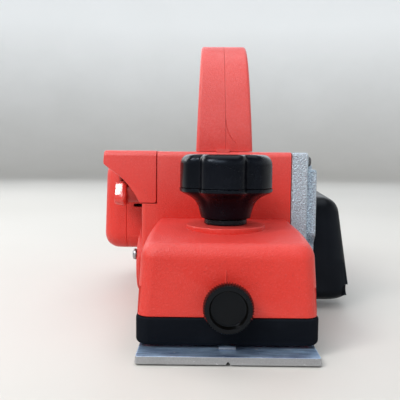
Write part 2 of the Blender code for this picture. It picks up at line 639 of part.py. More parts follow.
# ================= belt drive =================
def pulley(centre, radius, bore, name):
    flange = radius + 0.9
    profile = [(bore, 57.5), (flange, 57.5), (flange, 58.6), (radius, 58.9),
               (radius, 69.3), (flange, 69.6), (flange, 70.6), (bore, 70.6)]
    smooth(hollow_lathe("X", centre, profile, 28, name, CAST))


def belt_outline(thickness):
    """Outline round both pulleys, the given distance outside the belt's inner face."""
    return hull([(*DRUM, 12.8 + thickness), (*MOTOR, 7.5 + thickness)], 32)


pulley(DRUM, 12.5, 5.0, "drum_pulley")
pulley(MOTOR, 7.2, 4.0, "motor_pulley")
belt = prism(belt_outline(2.0), "X", 59.6, 68.6, "drive_belt", RUBBER)
cut(belt, prism(belt_outline(0), "X", 50, 80))
smooth(belt)

# ================= armature =================
SHAFT_BORE = 4.0        # bore radius of every piece on the shaft
# (radius, x) profiles, closed by their bore
CORE = [(SHAFT_BORE, -32), (17.3, -32), (17.3, 10), (SHAFT_BORE, 10)]
WINDING = [(SHAFT_BORE, -44), (9, -44), (14.6, -39), (14.6, -34), (12, -32.3),
           (SHAFT_BORE, -32.3)]
COMMUTATOR = [(SHAFT_BORE, -62), (11.2, -62), (11.2, -50), (13, -49.6), (13, -47.8),
              (SHAFT_BORE, -47.8)]
FAN = [(SHAFT_BORE, 17.5), (27.6, 17.5), (27.6, 19.3), (10, 19.3), (10, 33), (SHAFT_BORE, 33)]
FAN_BLADES = 9
smooth(lathe("X", MOTOR, [(3.7, -74.5), (3.7, 71.0), (3.2, 71.7)], 16, "armature_shaft", STEEL))
hollow_lathe("X", MOTOR, CORE, 28, "armature_core", LAMINATED)
smooth(hollow_lathe("X", MOTOR, WINDING, 24, "armature_winding", COPPER))
hollow_lathe("X", MOTOR, COMMUTATOR, 24, "commutator", COPPER)
fan = hollow_lathe("X", MOTOR, FAN, 28, "cooling_fan", BLACK)
for i in range(FAN_BLADES):
    fan_blade = box((18.5, 32), (MOTOR_Y - 0.85, MOTOR_Y + 0.85), (MOTOR_Z + 8.5, MOTOR_Z + 27.2))
    turn(fan_blade, MOTOR, 2 * pi * i / FAN_BLADES)
    add(fan, fan_blade)

# ================= shift to the shared origin, pivots on the joint axes =================
PIVOTS = {
    (*KNOB, 0): ("front_sole", "depth_stud"),
    (*KNOB, 75): ("knob_base", "knob_cap"),
    (THUMB_X, -114, THUMB_Z): ("thumb_knob", "thumb_screw"),
    (0, *DRUM): ("drum_body", "blade_1", "blade_2", "blade_clamp_1", "blade_clamp_2",
                 "drum_shaft", "drum_pulley"),
    (0, *MOTOR): ("armature_shaft", "armature_core", "armature_winding", "commutator",
                  "cooling_fan", "motor_pulley"),
    (1.5, 28.5, 130): ("trigger",),
    (0, *LOCK): ("lock_button",),
}
for piece in bpy.data.objects:
    piece.data.transform(Matrix.Translation((0, -REAR_MID * MM, 0)))
for (x, y, z), names in PIVOTS.items():
    pivot = Vector((x, y - REAR_MID, z)) * MM
    for name in names:
        piece = bpy.data.objects[name]
        piece.data.transform(Matrix.Translation(-pivot))
        piece.location = pivot
bpy.context.view_layer.update()
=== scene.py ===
"""Hand-held electric planer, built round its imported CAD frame.

The nose points to -Y, the soles lie on z = 0 and the depth knob and the D-handle rise to +Z.
The motor barrel and the chip outlet are on the -X side, the belt guard on the +X side.
Shapes are given in mm with y measured from the drum's axis; `place` turns them into metres.
"""
import bpy
import bmesh
from math import sin, cos, tan, pi, radians, atan2
from mathutils import Matrix, Vector

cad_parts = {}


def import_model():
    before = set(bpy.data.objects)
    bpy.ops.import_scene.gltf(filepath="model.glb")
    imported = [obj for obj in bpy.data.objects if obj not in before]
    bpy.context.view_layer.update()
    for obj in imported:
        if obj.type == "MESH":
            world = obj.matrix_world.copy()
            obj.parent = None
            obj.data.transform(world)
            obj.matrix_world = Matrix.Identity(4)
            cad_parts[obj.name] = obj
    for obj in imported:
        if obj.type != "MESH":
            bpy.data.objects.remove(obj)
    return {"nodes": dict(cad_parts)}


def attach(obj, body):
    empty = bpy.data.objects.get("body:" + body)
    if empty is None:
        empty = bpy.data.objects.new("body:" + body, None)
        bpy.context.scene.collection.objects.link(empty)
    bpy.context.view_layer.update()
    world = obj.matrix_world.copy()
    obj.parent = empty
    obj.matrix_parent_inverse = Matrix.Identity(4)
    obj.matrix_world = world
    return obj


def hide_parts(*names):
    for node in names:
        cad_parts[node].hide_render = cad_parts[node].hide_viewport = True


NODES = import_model()["nodes"]
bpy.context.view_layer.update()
COLL = bpy.context.scene.collection

MM = 0.001
DRUM_OFFSET = 93.5                      # drum axis, in front of the frame's origin

# axes, as (y, z) along X, (x, z) along Y and (x, y) along Z
DRUM = (0.0, 23.5)
MOTOR = MOTOR_Y, MOTOR_Z = (50.0, 57.0)
LOCK = (45, 140)
CORD = (1, 68)
THUMB = (0, 25.0)
KNOB = (0, -66.0)
GUIDE_PINS = ((-27, -58), (27, -58))

# screws along Z at (x, y), then along X at (y, z)
SOLE_SCREWS = ((-33, 34), (33, 34), (-30, 150), (30, 150))
CAP_SCREWS = ((-13.5, 31.0), (13.5, 16.0))
BRACKET_SCREWS = ((-19.5, 90.0), (68, 86.0))
GUARD_SCREWS = ((-16, 10.2), (68, 60.5))
GRIP_SCREWS = ((-5, 102.5), (148, 53))
END_SCREW_CIRCLE = 27                   # radius round the motor's axis
END_SCREWS = [(MOTOR_Y + END_SCREW_CIRCLE * cos(radians(a)),
               MOTOR_Z + END_SCREW_CIRCLE * sin(radians(a))) for a in (45, 225)]


# =====================================================================
# materials: colours are sRGB, 0 to 255
# =====================================================================
def linear(colour):
    return tuple(v / 255 / 12.92 if v / 255 <= 0.04045 else ((v / 255 + 0.055) / 1.055) ** 2.4
                 for v in colour)


def tint(colour, gain, lift=0):
    return tuple(min(255, int(v * gain + lift)) for v in colour)


class Shader:
    """A node material with short calls for its nodes."""

    def __init__(self, name):
        self.material = bpy.data.materials.new(name)
        self.material.use_nodes = True
        self.tree = self.material.node_tree
        self.coords = self.node("TexCoord").outputs["Object"]

    def feed(self, socket, value):
        """Links a socket, or sets a number, vector or linear colour."""
        if isinstance(value, bpy.types.NodeSocket):
            self.tree.links.new(value, socket)
        elif socket.type == "RGBA":
            socket.default_value = (*value, 1)
        else:
            socket.default_value = value

    def feed_all(self, node, inputs):
        for name, value in inputs.items():
            self.feed(node.inputs[name.replace("_", " ")], value)

    def node(self, kind, **inputs):
        node = self.tree.nodes.new("ShaderNode" + kind)
        self.feed_all(node, inputs)
        return node

    def surface(self, **inputs):
        self.feed_all(self.tree.nodes["Principled BSDF"], inputs)

    def mapped(self, scale, rotation=(0, 0, 0)):
        node = self.node("Mapping", Scale=scale, Rotation=rotation, Vector=self.coords)
        return node.outputs["Vector"]

    def noise(self, scale, detail, roughness, vector=None):
        node = self.node("TexNoise", Scale=scale, Detail=detail, Roughness=roughness,
                         Vector=vector or self.coords)
        return node.outputs["Fac"]

    def voronoi(self, scale, feature="F1"):
        node = self.node("TexVoronoi", Scale=scale, Vector=self.coords)
        node.feature = feature
        return node.outputs["Distance"]

    def remap(self, value, span, to=(0, 1)):
        node = self.node("MapRange", From_Min=span[0], From_Max=span[1],
                         To_Min=to[0], To_Max=to[1], Value=value)
        return node.outputs["Result"]

    def mix(self, amount, first, second):
        node = self.node("Mix")
        node.data_type = "RGBA"
        sockets = [s for s in node.inputs if s.type == "RGBA"]
        for socket, colour in zip(sockets, (first, second)):
            self.feed(socket, linear(colour) if isinstance(colour, tuple) else colour)
        self.feed(node.inputs[0], amount)
        return [s for s in node.outputs if s.type == "RGBA"][0]

    def math(self, operation, first, second):
        node = self.node("Math")
        node.operation = operation
        for socket, value in zip(node.inputs, (first, second)):
            self.feed(socket, value)
        return node.outputs[0]

    def times(self, first, second):
        return self.math("MULTIPLY", first, second)

    def plus(self, first, second):
        return self.math("ADD", first, second)

    def bump(self, height, strength, distance, under=None):
        node = self.node("Bump", Strength=strength, Distance=distance, Height=height)
        if under is not None:
            self.feed(node.inputs["Normal"], under)
        return node.outputs["Normal"]

    def geometry(self, output):
        return self.node("NewGeometry").outputs[output]

    def height_of(self, vector):
        node = self.node("SeparateXYZ")
        self.feed(node.inputs[0], vector)
        return node.outputs["Z"]

    def edge_wear_and_highlight(self, colour, span, amount, wear_and_highlight):
        """Lighter outward edges: wear on some parts, a painted highlight on others; span is in
        pointiness.
        """
        edge = self.remap(self.geometry("Pointiness"), span)
        return self.mix(self.times(edge, amount), colour, wear_and_highlight)


def red_plastic(name, base, rough, grain, specular=0.56):
    """Moulded ABS: fine leather-like grain, slightly uneven sheen, dust in the grain."""
    m = Shader(name)
    cloud = m.noise(scale=9, detail=4, roughness=0.55)
    fine = m.noise(scale=2100, detail=2, roughness=0.6)
    cell = m.voronoi(1750, "SMOOTH_F1")
    col = m.mix(m.remap(cloud, span=(0.3, 0.7)), base, tint(base, gain=1.07, lift=5))
    col = m.mix(m.remap(fine, span=(0.55, 0.8), to=(0, 0.35)), col, tint(base, gain=0.9))
    patches = m.noise(scale=38, detail=6, roughness=0.7)
    dust = m.times(m.remap(patches, span=(0.52, 0.75), to=(0, 0.07)),
                   m.remap(cell, span=(0.2, 0.7), to=(0.4, 1)))
    col = m.mix(dust, col, (226, 150, 140))
    # pale specks are painted sparkle glints, then dark specks
    speck = m.noise(scale=1150, detail=1, roughness=0.5)
    col = m.mix(m.remap(speck, span=(0.56, 0.74), to=(0, 0.12)), col, (240, 120, 112))
    speck = m.noise(scale=900, detail=1, roughness=0.5)
    col = m.mix(m.remap(speck, span=(0.58, 0.76), to=(0, 0.16)), col, (150, 18, 12))
    col = m.edge_wear_and_highlight(col, span=(0.505, 0.56), amount=0.22, wear_and_highlight=(236, 96, 84))
    # painted sheen: paler towards the top and on faces that look up, broken up by the grain
    high = m.remap(m.height_of(m.coords), span=(0.064, 0.112), to=(0, 0.09))
    upward = m.remap(m.height_of(m.geometry("Normal")), span=(0.25, 0.95), to=(0, 0.05))
    grainy = m.noise(scale=800, detail=2, roughness=0.6)
    painted_sheen = m.times(m.plus(high, upward), m.remap(grainy, span=(0.3, 0.7), to=(0.7, 1.3)))
    col = m.mix(painted_sheen, col, (240, 190, 195))
    sheen = m.noise(scale=55, detail=5, roughness=0.6)
    roughness = m.plus(m.remap(sheen, span=(0.3, 0.7), to=(rough - 0.05, rough + 0.07)),
                       m.remap(fine, span=(0.3, 0.7), to=(-0.03, 0.03)))
    relief = m.plus(m.times(cell, 0.7), m.times(fine, 0.6))
    normal = m.bump(relief, strength=grain, distance=0.00046)
    waves = m.noise(scale=70, detail=3, roughness=0.5)
    normal = m.bump(waves, strength=0.05, distance=0.0006, under=normal)
    m.surface(Base_Color=col, Roughness=roughness, Normal=normal, IOR=1.5,
              Specular_IOR_Level=specular)
    return m.material


def black_plastic(name, base, rough, grain, scale=1700, dust=0.05, specular=0.22):
    """Smooth black plastic; scale is that of its surface grain."""
    m = Shader(name)
    fine = m.noise(scale=scale, detail=2, roughness=0.6)
    cloud = m.noise(scale=45, detail=5, roughness=0.65)
    col = m.mix(m.remap(cloud, span=(0.35, 0.75)), base, tint(base, gain=1.35, lift=3))
    patches = m.noise(scale=230, detail=6, roughness=0.75)
    col = m.mix(m.remap(patches, span=(0.6, 0.85), to=(0, dust)), col, (120, 122, 126))
    col = m.edge_wear_and_highlight(col, span=(0.51, 0.6), amount=0.08, wear_and_highlight=(60, 64, 72))
    sheen = m.noise(scale=90, detail=6, roughness=0.7)
    roughness = m.remap(sheen, span=(0.3, 0.75), to=(rough - 0.04, rough + 0.10))
    normal = m.bump(fine, strength=grain, distance=0.0001)
    waves = m.noise(scale=60, detail=2, roughness=0.5)
    normal = m.bump(waves, strength=0.05, distance=0.0005, under=normal)
    m.surface(Base_Color=col, Roughness=roughness, Normal=normal, IOR=1.5,
              Specular_IOR_Level=specular, Specular_Tint=(0.72, 0.84, 1.0))
    return m.material


def rubber(name, base, rough):
    """Matt rubber with faint level streaks."""
    m = Shader(name)
    streak = m.noise(scale=1, detail=5, roughness=0.6, vector=m.mapped((60, 60, 420)))
    fine = m.noise(scale=1900, detail=2, roughness=0.6)
    patches = m.noise(scale=70, detail=7, roughness=0.75)
    col = m.mix(m.remap(streak, span=(0.3, 0.75)), base, tint(base, gain=1.5, lift=2))
    col = m.mix(m.remap(patches, span=(0.5, 0.76), to=(0, 0.03)), col, (70, 74, 84))
    # the lighter edges are a painted highlight, such as the light line along the band's top edge
    col = m.edge_wear_and_highlight(col, span=(0.505, 0.55), amount=0.12, wear_and_highlight=(80, 86, 98))
    relief = m.plus(fine, m.times(m.voronoi(900), 0.5))
    roughness = m.remap(streak, span=(0.3, 0.7), to=(rough - 0.08, rough + 0.08))
    m.surface(Base_Color=col, Roughness=roughness, Specular_IOR_Level=0.015,
              Normal=m.bump(relief, strength=0.35, distance=0.00012))
    return m.material


def cast_metal(name, base, rough, strength):
    """Sand-blasted die casting: small grains that sparkle, with duller pits."""
    m = Shader(name)
    cell = m.voronoi(1050)
    fine = m.noise(scale=1500, detail=4, roughness=0.7)
    cloud = m.noise(scale=22, detail=4, roughness=0.6)
    pit = m.remap(m.noise(scale=520, detail=3, roughness=0.6), span=(0.58, 0.72))
    col = m.mix(m.remap(fine, span=(0.38, 0.68)), tint(base, gain=0.62), tint(base, gain=1.25))
    col = m.mix(m.remap(cloud, span=(0.35, 0.7), to=(0, 0.3)), col, (150, 155, 165))
    col = m.mix(m.times(pit, 0.35), col, (98, 102, 110))
    col = m.edge_wear_and_highlight(col, span=(0.505, 0.56), amount=0.5, wear_and_highlight=(225, 228, 232))
    relief = m.plus(m.times(cell, 0.9), m.times(fine, 0.8))
    m.surface(Base_Color=col, Metallic=0.92,
              Roughness=m.remap(fine, span=(0.3, 0.75), to=(rough - 0.1, rough + 0.14)),
              Normal=m.bump(relief, strength=strength, distance=0.0005))
    return m.material


def brushed(name, base, along, rough, dirt, strength, sky=False):
    """Machined aluminium: long fine tool lines, a few scratches and grey smudges.

    sky adds a painted blotchy blue sky reflection on faces that look up, and bright chips.
    """
    m = Shader(name)

    def stretched(low, high):
        return tuple(low if axis == along else high for axis in "XYZ")

    line = m.noise(scale=1.0, detail=3, roughness=0.6, vector=m.mapped(stretched(14, 1500)))
    scratch = m.noise(scale=1.0, detail=4, roughness=0.7,
                      vector=m.mapped(stretched(30, 420), rotation=(0.02, 0.03, 0.12)))
    smudge = m.noise(scale=40, detail=6, roughness=0.7)
    col = m.mix(m.remap(line, span=(0.3, 0.7)), tint(base, gain=0.86), tint(base, gain=1.08))
    col = m.mix(m.remap(scratch, span=(0.62, 0.72), to=(0, 0.45)), col, (232, 234, 238))
    col = m.mix(m.remap(smudge, span=(0.5, 0.72), to=(0, dirt)), col, (96, 92, 84))
    col = m.edge_wear_and_highlight(col, span=(0.51, 0.58), amount=0.5, wear_and_highlight=(230, 231, 234))
    relief = m.plus(line, m.times(scratch, 0.8))
    normal = m.bump(relief, strength=strength, distance=0.00006)
    roughness = m.plus(m.remap(line, span=(0.3, 0.7), to=(rough - 0.06, rough + 0.08)),
                       m.remap(smudge, span=(0.45, 0.75), to=(0, 0.16)))
    if sky:
        # painted reflection: faces that look up take a blotchy sky blue
        upward = m.remap(m.height_of(m.geometry("Normal")), span=(0.5, 0.9))
        dab = m.noise(scale=1, detail=4, roughness=0.65, vector=m.mapped((75, 330, 200)))
        sheen = m.mix(m.remap(dab, span=(0.36, 0.66)), (186, 222, 255), (98, 130, 178))
        col = m.mix(m.times(upward, 0.8), col, sheen)
        chip = m.noise(scale=1, detail=3, roughness=0.6,
                       vector=m.mapped((190, 420, 260), rotation=(0, 0.5, 0.2)))
        col = m.mix(m.remap(chip, span=(0.66, 0.72), to=(0, 0.7)), col, (226, 228, 232))
    m.surface(Base_Color=col, Metallic=0.75 if sky else 0.95, Roughness=roughness,
              Normal=normal, Anisotropic=0.4)
    return m.material


def steel(name, base, rough):
    """Turned or plated metal with fine marks and a little tarnish."""
    m = Shader(name)
    fine = m.noise(scale=900, detail=4, roughness=0.65)
    tarnish = m.noise(scale=140, detail=5, roughness=0.7)
    col = m.mix(m.remap(fine, span=(0.3, 0.7)), tint(base, gain=0.86), tint(base, gain=1.1))
    col = m.mix(m.remap(tarnish, span=(0.5, 0.75), to=(0, 0.35)), col, (86, 80, 72))
    col = m.edge_wear_and_highlight(col, span=(0.51, 0.6), amount=0.4, wear_and_highlight=(225, 225, 228))
    m.surface(Base_Color=col, Metallic=1.0,
              Roughness=m.remap(tarnish, span=(0.3, 0.7), to=(rough - 0.06, rough + 0.14)),
              Normal=m.bump(fine, strength=0.2, distance=0.00008))
    return m.material


def striped(name, stretch, detail, span, dark, light, rough, strength, distance):
    """Metal in fine parallel layers or turns."""
    m = Shader(name)
    line = m.noise(scale=1, detail=detail, roughness=0.5, vector=m.mapped(stretch))
    m.surface(Base_Color=m.mix(m.remap(line, span), dark, light), Metallic=0.85,
              Roughness=m.remap(line, span=(0.3, 0.7), to=rough),
              Normal=m.bump(line, strength, distance))
    return m.material


RED = red_plastic("red_abs", (205, 34, 19), rough=0.40, grain=0.6)
RED_POLISHED = red_plastic("red_abs_polished", (200, 30, 18), rough=0.13, grain=0.03, specular=0.8)
# darker copy of the red: painted shade for the chute's recess under the hood
RED_PAINTED_SHADE = red_plastic("red_abs_painted_shade", (150, 18, 12), rough=0.34, grain=0.15, specular=0.3)
RED_FINE = red_plastic("red_abs_fine", (205, 34, 20), rough=0.31, grain=0.4)
BLACK_GLOSS = black_plastic("black_gloss", (4, 5, 10), rough=0.22, grain=0.03,
                            dust=0.012, specular=0.15)
BLACK_SATIN = black_plastic("black_satin", (11, 11, 12), rough=0.26, grain=0.05,
                            dust=0.03, specular=0.2)
BLACK_POLISHED = black_plastic("black_polished", (6, 5, 4), rough=0.13, grain=0.02,
                               dust=0.012, specular=0.18)
BLACK_MOULDED = black_plastic("black_moulded", (9, 10, 14), rough=0.36, grain=0.14, scale=1500,
                              dust=0.02, specular=0.13)
BAND_RUBBER = rubber("rubber_band", (1, 2, 5), rough=0.66)
CORD_RUBBER = rubber("rubber_cord", (22, 22, 24), rough=0.55)
BELT_RUBBER = rubber("belt_rubber", (20, 20, 22), rough=0.8)
CAST = cast_metal("cast_bracket", (172, 193, 226), rough=0.34, strength=1.15)
SOLE_METAL = brushed("sole_milled", (148, 149, 151), along="Y", rough=0.4, dirt=0.22,
                     strength=0.15, sky=True)
DRUM_METAL = brushed("drum_turned", (150, 152, 156), along="X", rough=0.32, dirt=0.2,
                     strength=0.22)
STEEL = steel("plated_steel", (150, 150, 154), rough=0.28)
DARK_STEEL = steel("dark_steel", (96, 96, 100), rough=0.34)
BLACK_STEEL = steel("blackened_steel", (20, 20, 23), rough=0.26)
BLADE_STEEL = steel("blade_steel", (190, 192, 196), rough=0.16)
LAMINATIONS = striped("laminations", stretch=(2000, 4, 4), detail=1, span=(0.4, 0.6),
                      dark=(60, 62, 66), light=(120, 122, 126), rough=(0.4, 0.6),
                      strength=0.5, distance=0.0001)
WIRE_COLOUR = (176, 92, 48)
COPPER_WIRE = striped("copper_wire", stretch=(1500, 60, 1500), detail=2, span=(0.35, 0.65),
                      dark=tint(WIRE_COLOUR, gain=0.55), light=WIRE_COLOUR, rough=(0.25, 0.42),
                      strength=0.6, distance=0.0002)
COMMUTATOR = steel("commutator_copper", (196, 120, 74), rough=0.3)
CARBON = black_plastic("carbon_block", (30, 30, 32), rough=0.55, grain=0.2)


# =====================================================================
# flat outlines
# =====================================================================
def clamp(value):
    return max(0, min(1, value))


def polar(centre, radii):
    """Points at even angles, one for each radius."""
    n = len(radii)
    return [(centre[0] + r * cos(2 * pi * i / n), centre[1] + r * sin(2 * pi * i / n))
            for i, r in enumerate(radii)]


def arc(u, v, radius_u, radius_v, angles):
    """Points of an ellipse at the given angles in degrees."""
    return [(u + radius_u * cos(radians(a)), v + radius_v * sin(radians(a))) for a in angles]


def roundover(start, depth, inset, steps):
    """(place, inset) stations of a quarter ellipse."""
    return [(start + depth * sin(radians(90 * i / steps)),
             inset * (1 - cos(radians(90 * i / steps)))) for i in range(1, steps + 1)]


def rounded(u0, u1, v0, v1, radii, steps):
    """Rectangle with rounded corners, anticlockwise from (u0, v0); radius 0 is sharp."""
    if not isinstance(radii, tuple):
        radii = (radii,) * 4
    corners = ((u0, v0, 180), (u1, v0, 270), (u1, v1, 0), (u0, v1, 90))
    points = []
    for (u, v, start), r in zip(corners, radii):
        if r == 0:
            points.append((u, v))
            continue
        centre_u = u + r if u == u0 else u - r
        centre_v = v + r if v == v0 else v - r
        points += arc(centre_u, centre_v, r, r, [start + 90 * i / steps for i in range(steps + 1)])
    return points


def fillet(corners, steps=5):
    """Outline from (u, v, radius) corners, each turned into an arc."""
    points = []
    for i, (u, v, radius) in enumerate(corners):
        if not radius:
            points.append((u, v))
            continue
        before = Vector(corners[i - 1][:2])
        corner = Vector((u, v))
        after = Vector(corners[(i + 1) % len(corners)][:2])
        back, ahead = (before - corner).normalized(), (after - corner).normalized()
        half = back.angle(ahead) / 2
        run = radius / tan(half)
        centre = corner + (back + ahead).normalized() * (radius / sin(half))
        first, last = corner + back * run - centre, corner + ahead * run - centre
        a0, a1 = atan2(first.y, first.x), atan2(last.y, last.x)
        while a1 - a0 > pi:
            a1 -= 2 * pi
        while a1 - a0 < -pi:
            a1 += 2 * pi
        for j in range(steps + 1):
            a = a0 + (a1 - a0) * j / steps
            points.append((centre.x + radius * cos(a), centre.y + radius * sin(a)))
    return points


def wrap(circles, sides, inset=0.0):
    """Outline stretched round (u, v, radius) circles that are first made smaller by inset."""
    points = []
    for i in range(sides):
        t = 2 * pi * (i + 0.5) / sides
        u, v, r = max(circles, key=lambda c: c[0] * cos(t) + c[1] * sin(t) + max(0.8, c[2] - inset))
        r = max(0.8, r - inset)
        points.append((u + r * cos(t), v + r * sin(t)))
    return points


def offset(points, inset):
    """Moves an anticlockwise outline inwards."""
    n, out = len(points), []
    for i in range(n):
        (au, av), (bu, bv), (cu, cv) = points[i - 1], points[i], points[(i + 1) % n]
        before = Vector((bu - au, bv - av)).normalized()
        after = Vector((cu - bu, cv - bv)).normalized()
        n1, n2 = Vector((-before.y, before.x)), Vector((-after.y, after.x))
        m = n1 + n2
        m = m / max(0.35, m.length_squared / 2) if m.length > 1e-6 else n1
        out.append((bu + m.x * inset, bv + m.y * inset))
    return out


def spline(points, sharp, steps=6):
    """Closed outline through the points, smooth except at the indices in sharp."""
    out, n = [], len(points)
    for i in range(n):
        p0, p1, p2, p3 = (Vector(points[(i + j) % n]) for j in (-1, 0, 1, 2))
        if i in sharp:
            p0 = p1 - (p2 - p1)
        if (i + 1) % n in sharp:
            p3 = p2 + (p2 - p1)
        if i in sharp and (i + 1) % n in sharp:
            out.append(tuple(p1))
            continue
        for j in range(steps):
            t = j / steps
            out.append(tuple(0.5 * ((2 * p1) + (p2 - p0) * t
                                    + (2 * p0 - 5 * p1 + 4 * p2 - p3) * t * t
                                    + (3 * p1 - p0 - 3 * p2 + p3) * t ** 3)))
    return out


# =====================================================================
# solids; those left with the name "tool" are used up by add, cut or join
# =====================================================================
def place(axis, u, v, along):
    """Metres from an outline point (u, v) and a place on the axis."""
    if axis == "X":
        return (along * MM, (u - DRUM_OFFSET) * MM, v * MM)
    if axis == "Y":
        return (u * MM, (along - DRUM_OFFSET) * MM, v * MM)
    return (u * MM, (v - DRUM_OFFSET) * MM, along * MM)


def new_object(name, data):
    ob = bpy.data.objects.new(name, data)
    COLL.objects.link(ob)
    return ob


def bridge(bm, a, b):
    n = len(a)
    for i in range(n):
        bm.faces.new((a[i], a[(i + 1) % n], b[(i + 1) % n], b[i]))


def loft(rings, name="tool", cyclic=False):
    """Skin through rings of points in metres, capped unless cyclic."""
    bm = bmesh.new()
    rows = [[bm.verts.new(p) for p in ring] for ring in rings]
    for a, b in zip(rows[:-1], rows[1:]):
        bridge(bm, a, b)
    if cyclic:
        bridge(bm, rows[-1], rows[0])
    else:
        bm.faces.new(rows[0])
        bm.faces.new(rows[-1])
    bmesh.ops.remove_doubles(bm, verts=bm.verts, dist=1e-6)
    bmesh.ops.recalc_face_normals(bm, faces=bm.faces)
    if bm.calc_volume(signed=True) < 0:
        bmesh.ops.reverse_faces(bm, faces=bm.faces)
    mesh = bpy.data.meshes.new(name)
    bm.to_mesh(mesh)
    bm.free()
    return new_object(name, mesh)


def skin(axis, sections, name="tool"):
    """Loft through (place on the axis, outline) sections."""
    return loft([[place(axis, u, v, a) for u, v in outline] for a, outline in sections], name)


def inset_skin(axis, outline, stations, name="tool"):
    """Loft of one outline through (place, inset) stations."""
    return skin(axis, [(a, offset(outline, inset)) for a, inset in stations], name)


def prism(outline, axis, start, end, name="tool"):
    return skin(axis, [(start, outline), (end, outline)], name)


def box(x0, x1, y0, y1, z0, z1):
    return prism([(x0, y0), (x1, y0), (x1, y1), (x0, y1)], "Z", z0, z1)


def lathe(axis, centre, profile, sides, name="tool"):
    """Turned solid from a (radius, place) profile."""
    return skin(axis, [(a, polar(centre, [r] * sides)) for r, a in profile], name)


def rod(axis, centre, radius, start, end, sides=64):
    return lathe(axis, centre, [(radius, start), (radius, end)], sides)


def ring(axis, centre, profile, sides, name):
    """Turned solid with a bore, from a closed (radius, place) profile."""
    rings = []
    for i in range(sides):
        t = 2 * pi * i / sides
        rings.append([place(axis, centre[0] + r * cos(t), centre[1] + r * sin(t), a)
                      for r, a in profile])
    return loft(rings, name, cyclic=True)


def bar(points, radius, sides=8):
    """Round bar through (x, y, z) points."""
    rings = []
    for i, p in enumerate(points):
        before = Vector(points[max(0, i - 1)])
        after = Vector(points[min(len(points) - 1, i + 1)])
        t = (after - before).normalized()
        u = t.cross(Vector((0.3, 1, 0.2))).normalized()
        v = t.cross(u)
        c = Vector(p) + Vector((0, -DRUM_OFFSET, 0))
        rings.append([tuple((c + u * (radius * cos(2 * pi * k / sides))
                             + v * (radius * sin(2 * pi * k / sides))) * MM)
                      for k in range(sides)])
    return loft(rings)


def apply_modifiers(ob):
    bpy.context.view_layer.update()
    graph = bpy.context.evaluated_depsgraph_get()
    mesh = bpy.data.meshes.new_from_object(ob.evaluated_get(graph))
    ob.modifiers.clear()
    old = ob.data
    ob.data = mesh
    bpy.data.meshes.remove(old)


def boolean(ob, tools, operation):
    for tool in tools:
        modifier = ob.modifiers.new("b", "BOOLEAN")
        modifier.operation = operation
        modifier.solver = "EXACT"
        modifier.object = tool
        apply_modifiers(ob)
        bpy.data.objects.remove(tool, do_unlink=True)


def cut(ob, *tools):
    boolean(ob, tools, "DIFFERENCE")


def add(ob, *tools):
    boolean(ob, tools, "UNION")


def join(ob, *others):
    """Keeps overlapping shells in one object."""
    bm = bmesh.new()
    bm.from_mesh(ob.data)
    for other in others:
        bm.from_mesh(other.data)
        bpy.data.objects.remove(other, do_unlink=True)
    bm.to_mesh(ob.data)
    bm.free()


def smooth(ob, angle):
    ob.data.shade_smooth()
    ob.data.set_sharp_from_angle(angle=radians(angle))


def soften(ob, width, segments=2, angle=34, shade=40):
    """Cleans the mesh, rounds edges sharper than angle and shades it smooth up to shade."""
    bm = bmesh.new()
    bm.from_mesh(ob.data)
    bmesh.ops.remove_doubles(bm, verts=bm.verts, dist=2e-6)
    bmesh.ops.dissolve_degenerate(bm, edges=bm.edges, dist=2e-6)
    bmesh.ops.dissolve_limit(bm, angle_limit=radians(0.8), verts=bm.verts, edges=bm.edges)
    bm.to_mesh(ob.data)
    bm.free()
    if width > 0:
        bevel = ob.modifiers.new("bevel", "BEVEL")
        bevel.width = width * MM
        bevel.segments = segments
        bevel.limit_method = "ANGLE"
        bevel.angle_limit = radians(angle)
        bevel.use_clamp_overlap = True
        bevel.miter_outer = "MITER_ARC"
        apply_modifiers(ob)
    smooth(ob, shade)
    even = ob.modifiers.new("even", "WEIGHTED_NORMAL")
    even.keep_sharp = True
    even.weight = 90
    apply_modifiers(ob)


def coat(ob, material):
    ob.data.materials.clear()
    ob.data.materials.append(material)


def fit(ob, body, slot, material, *nodes):
    """Finishes a piece and tells the frame what it rides on and replaces."""
    coat(ob, material)
    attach(ob, body)
    if nodes:
        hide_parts(*nodes)


def dress(material, *nodes):
    """Finish for frame pieces that stay."""
    for node in nodes:
        coat(NODES[node], material)
        for face in NODES[node].data.polygons:
            face.material_index = 0


# =====================================================================
# main housing
# =====================================================================
NOSE_FOOT, NOSE_WALL_TOP, NOSE_TOP = 18.4, 48.4, 55.5
BODY_TOP, BODY_CORNER = 95.5, 3.4
BARREL_HALF, BARREL_FOOT, BARREL_TOP = 34.0, 28.6, 91
BARREL = rounded(MOTOR_Y - BARREL_HALF, MOTOR_Y + BARREL_HALF, BARREL_FOOT, BARREL_TOP, 12, 14)
# side view of the body, (y, z)
BODY = ([(-28, 5.2), (14, 5.2), (14, 4.3), (88, 4.3), (88, MOTOR_Z)]
        + arc(MOTOR_Y, MOTOR_Z, 38, BODY_TOP - MOTOR_Z, range(12, 85, 12))
        + [(MOTOR_Y, BODY_TOP), (-24.6, BODY_TOP)]
        + arc(-24.6, BODY_TOP - BODY_CORNER, BODY_CORNER, BODY_CORNER, range(108, 181, 18)))
# (x, inset) of the body's sections
BODY_STATIONS = ((-49, 2.2), (-48.85, 1.4), (-48.3, 0.65), (-47.6, 0.22), (-46.8, 0.0),
                 (39.9, 0.0), (40.2, 0.3))


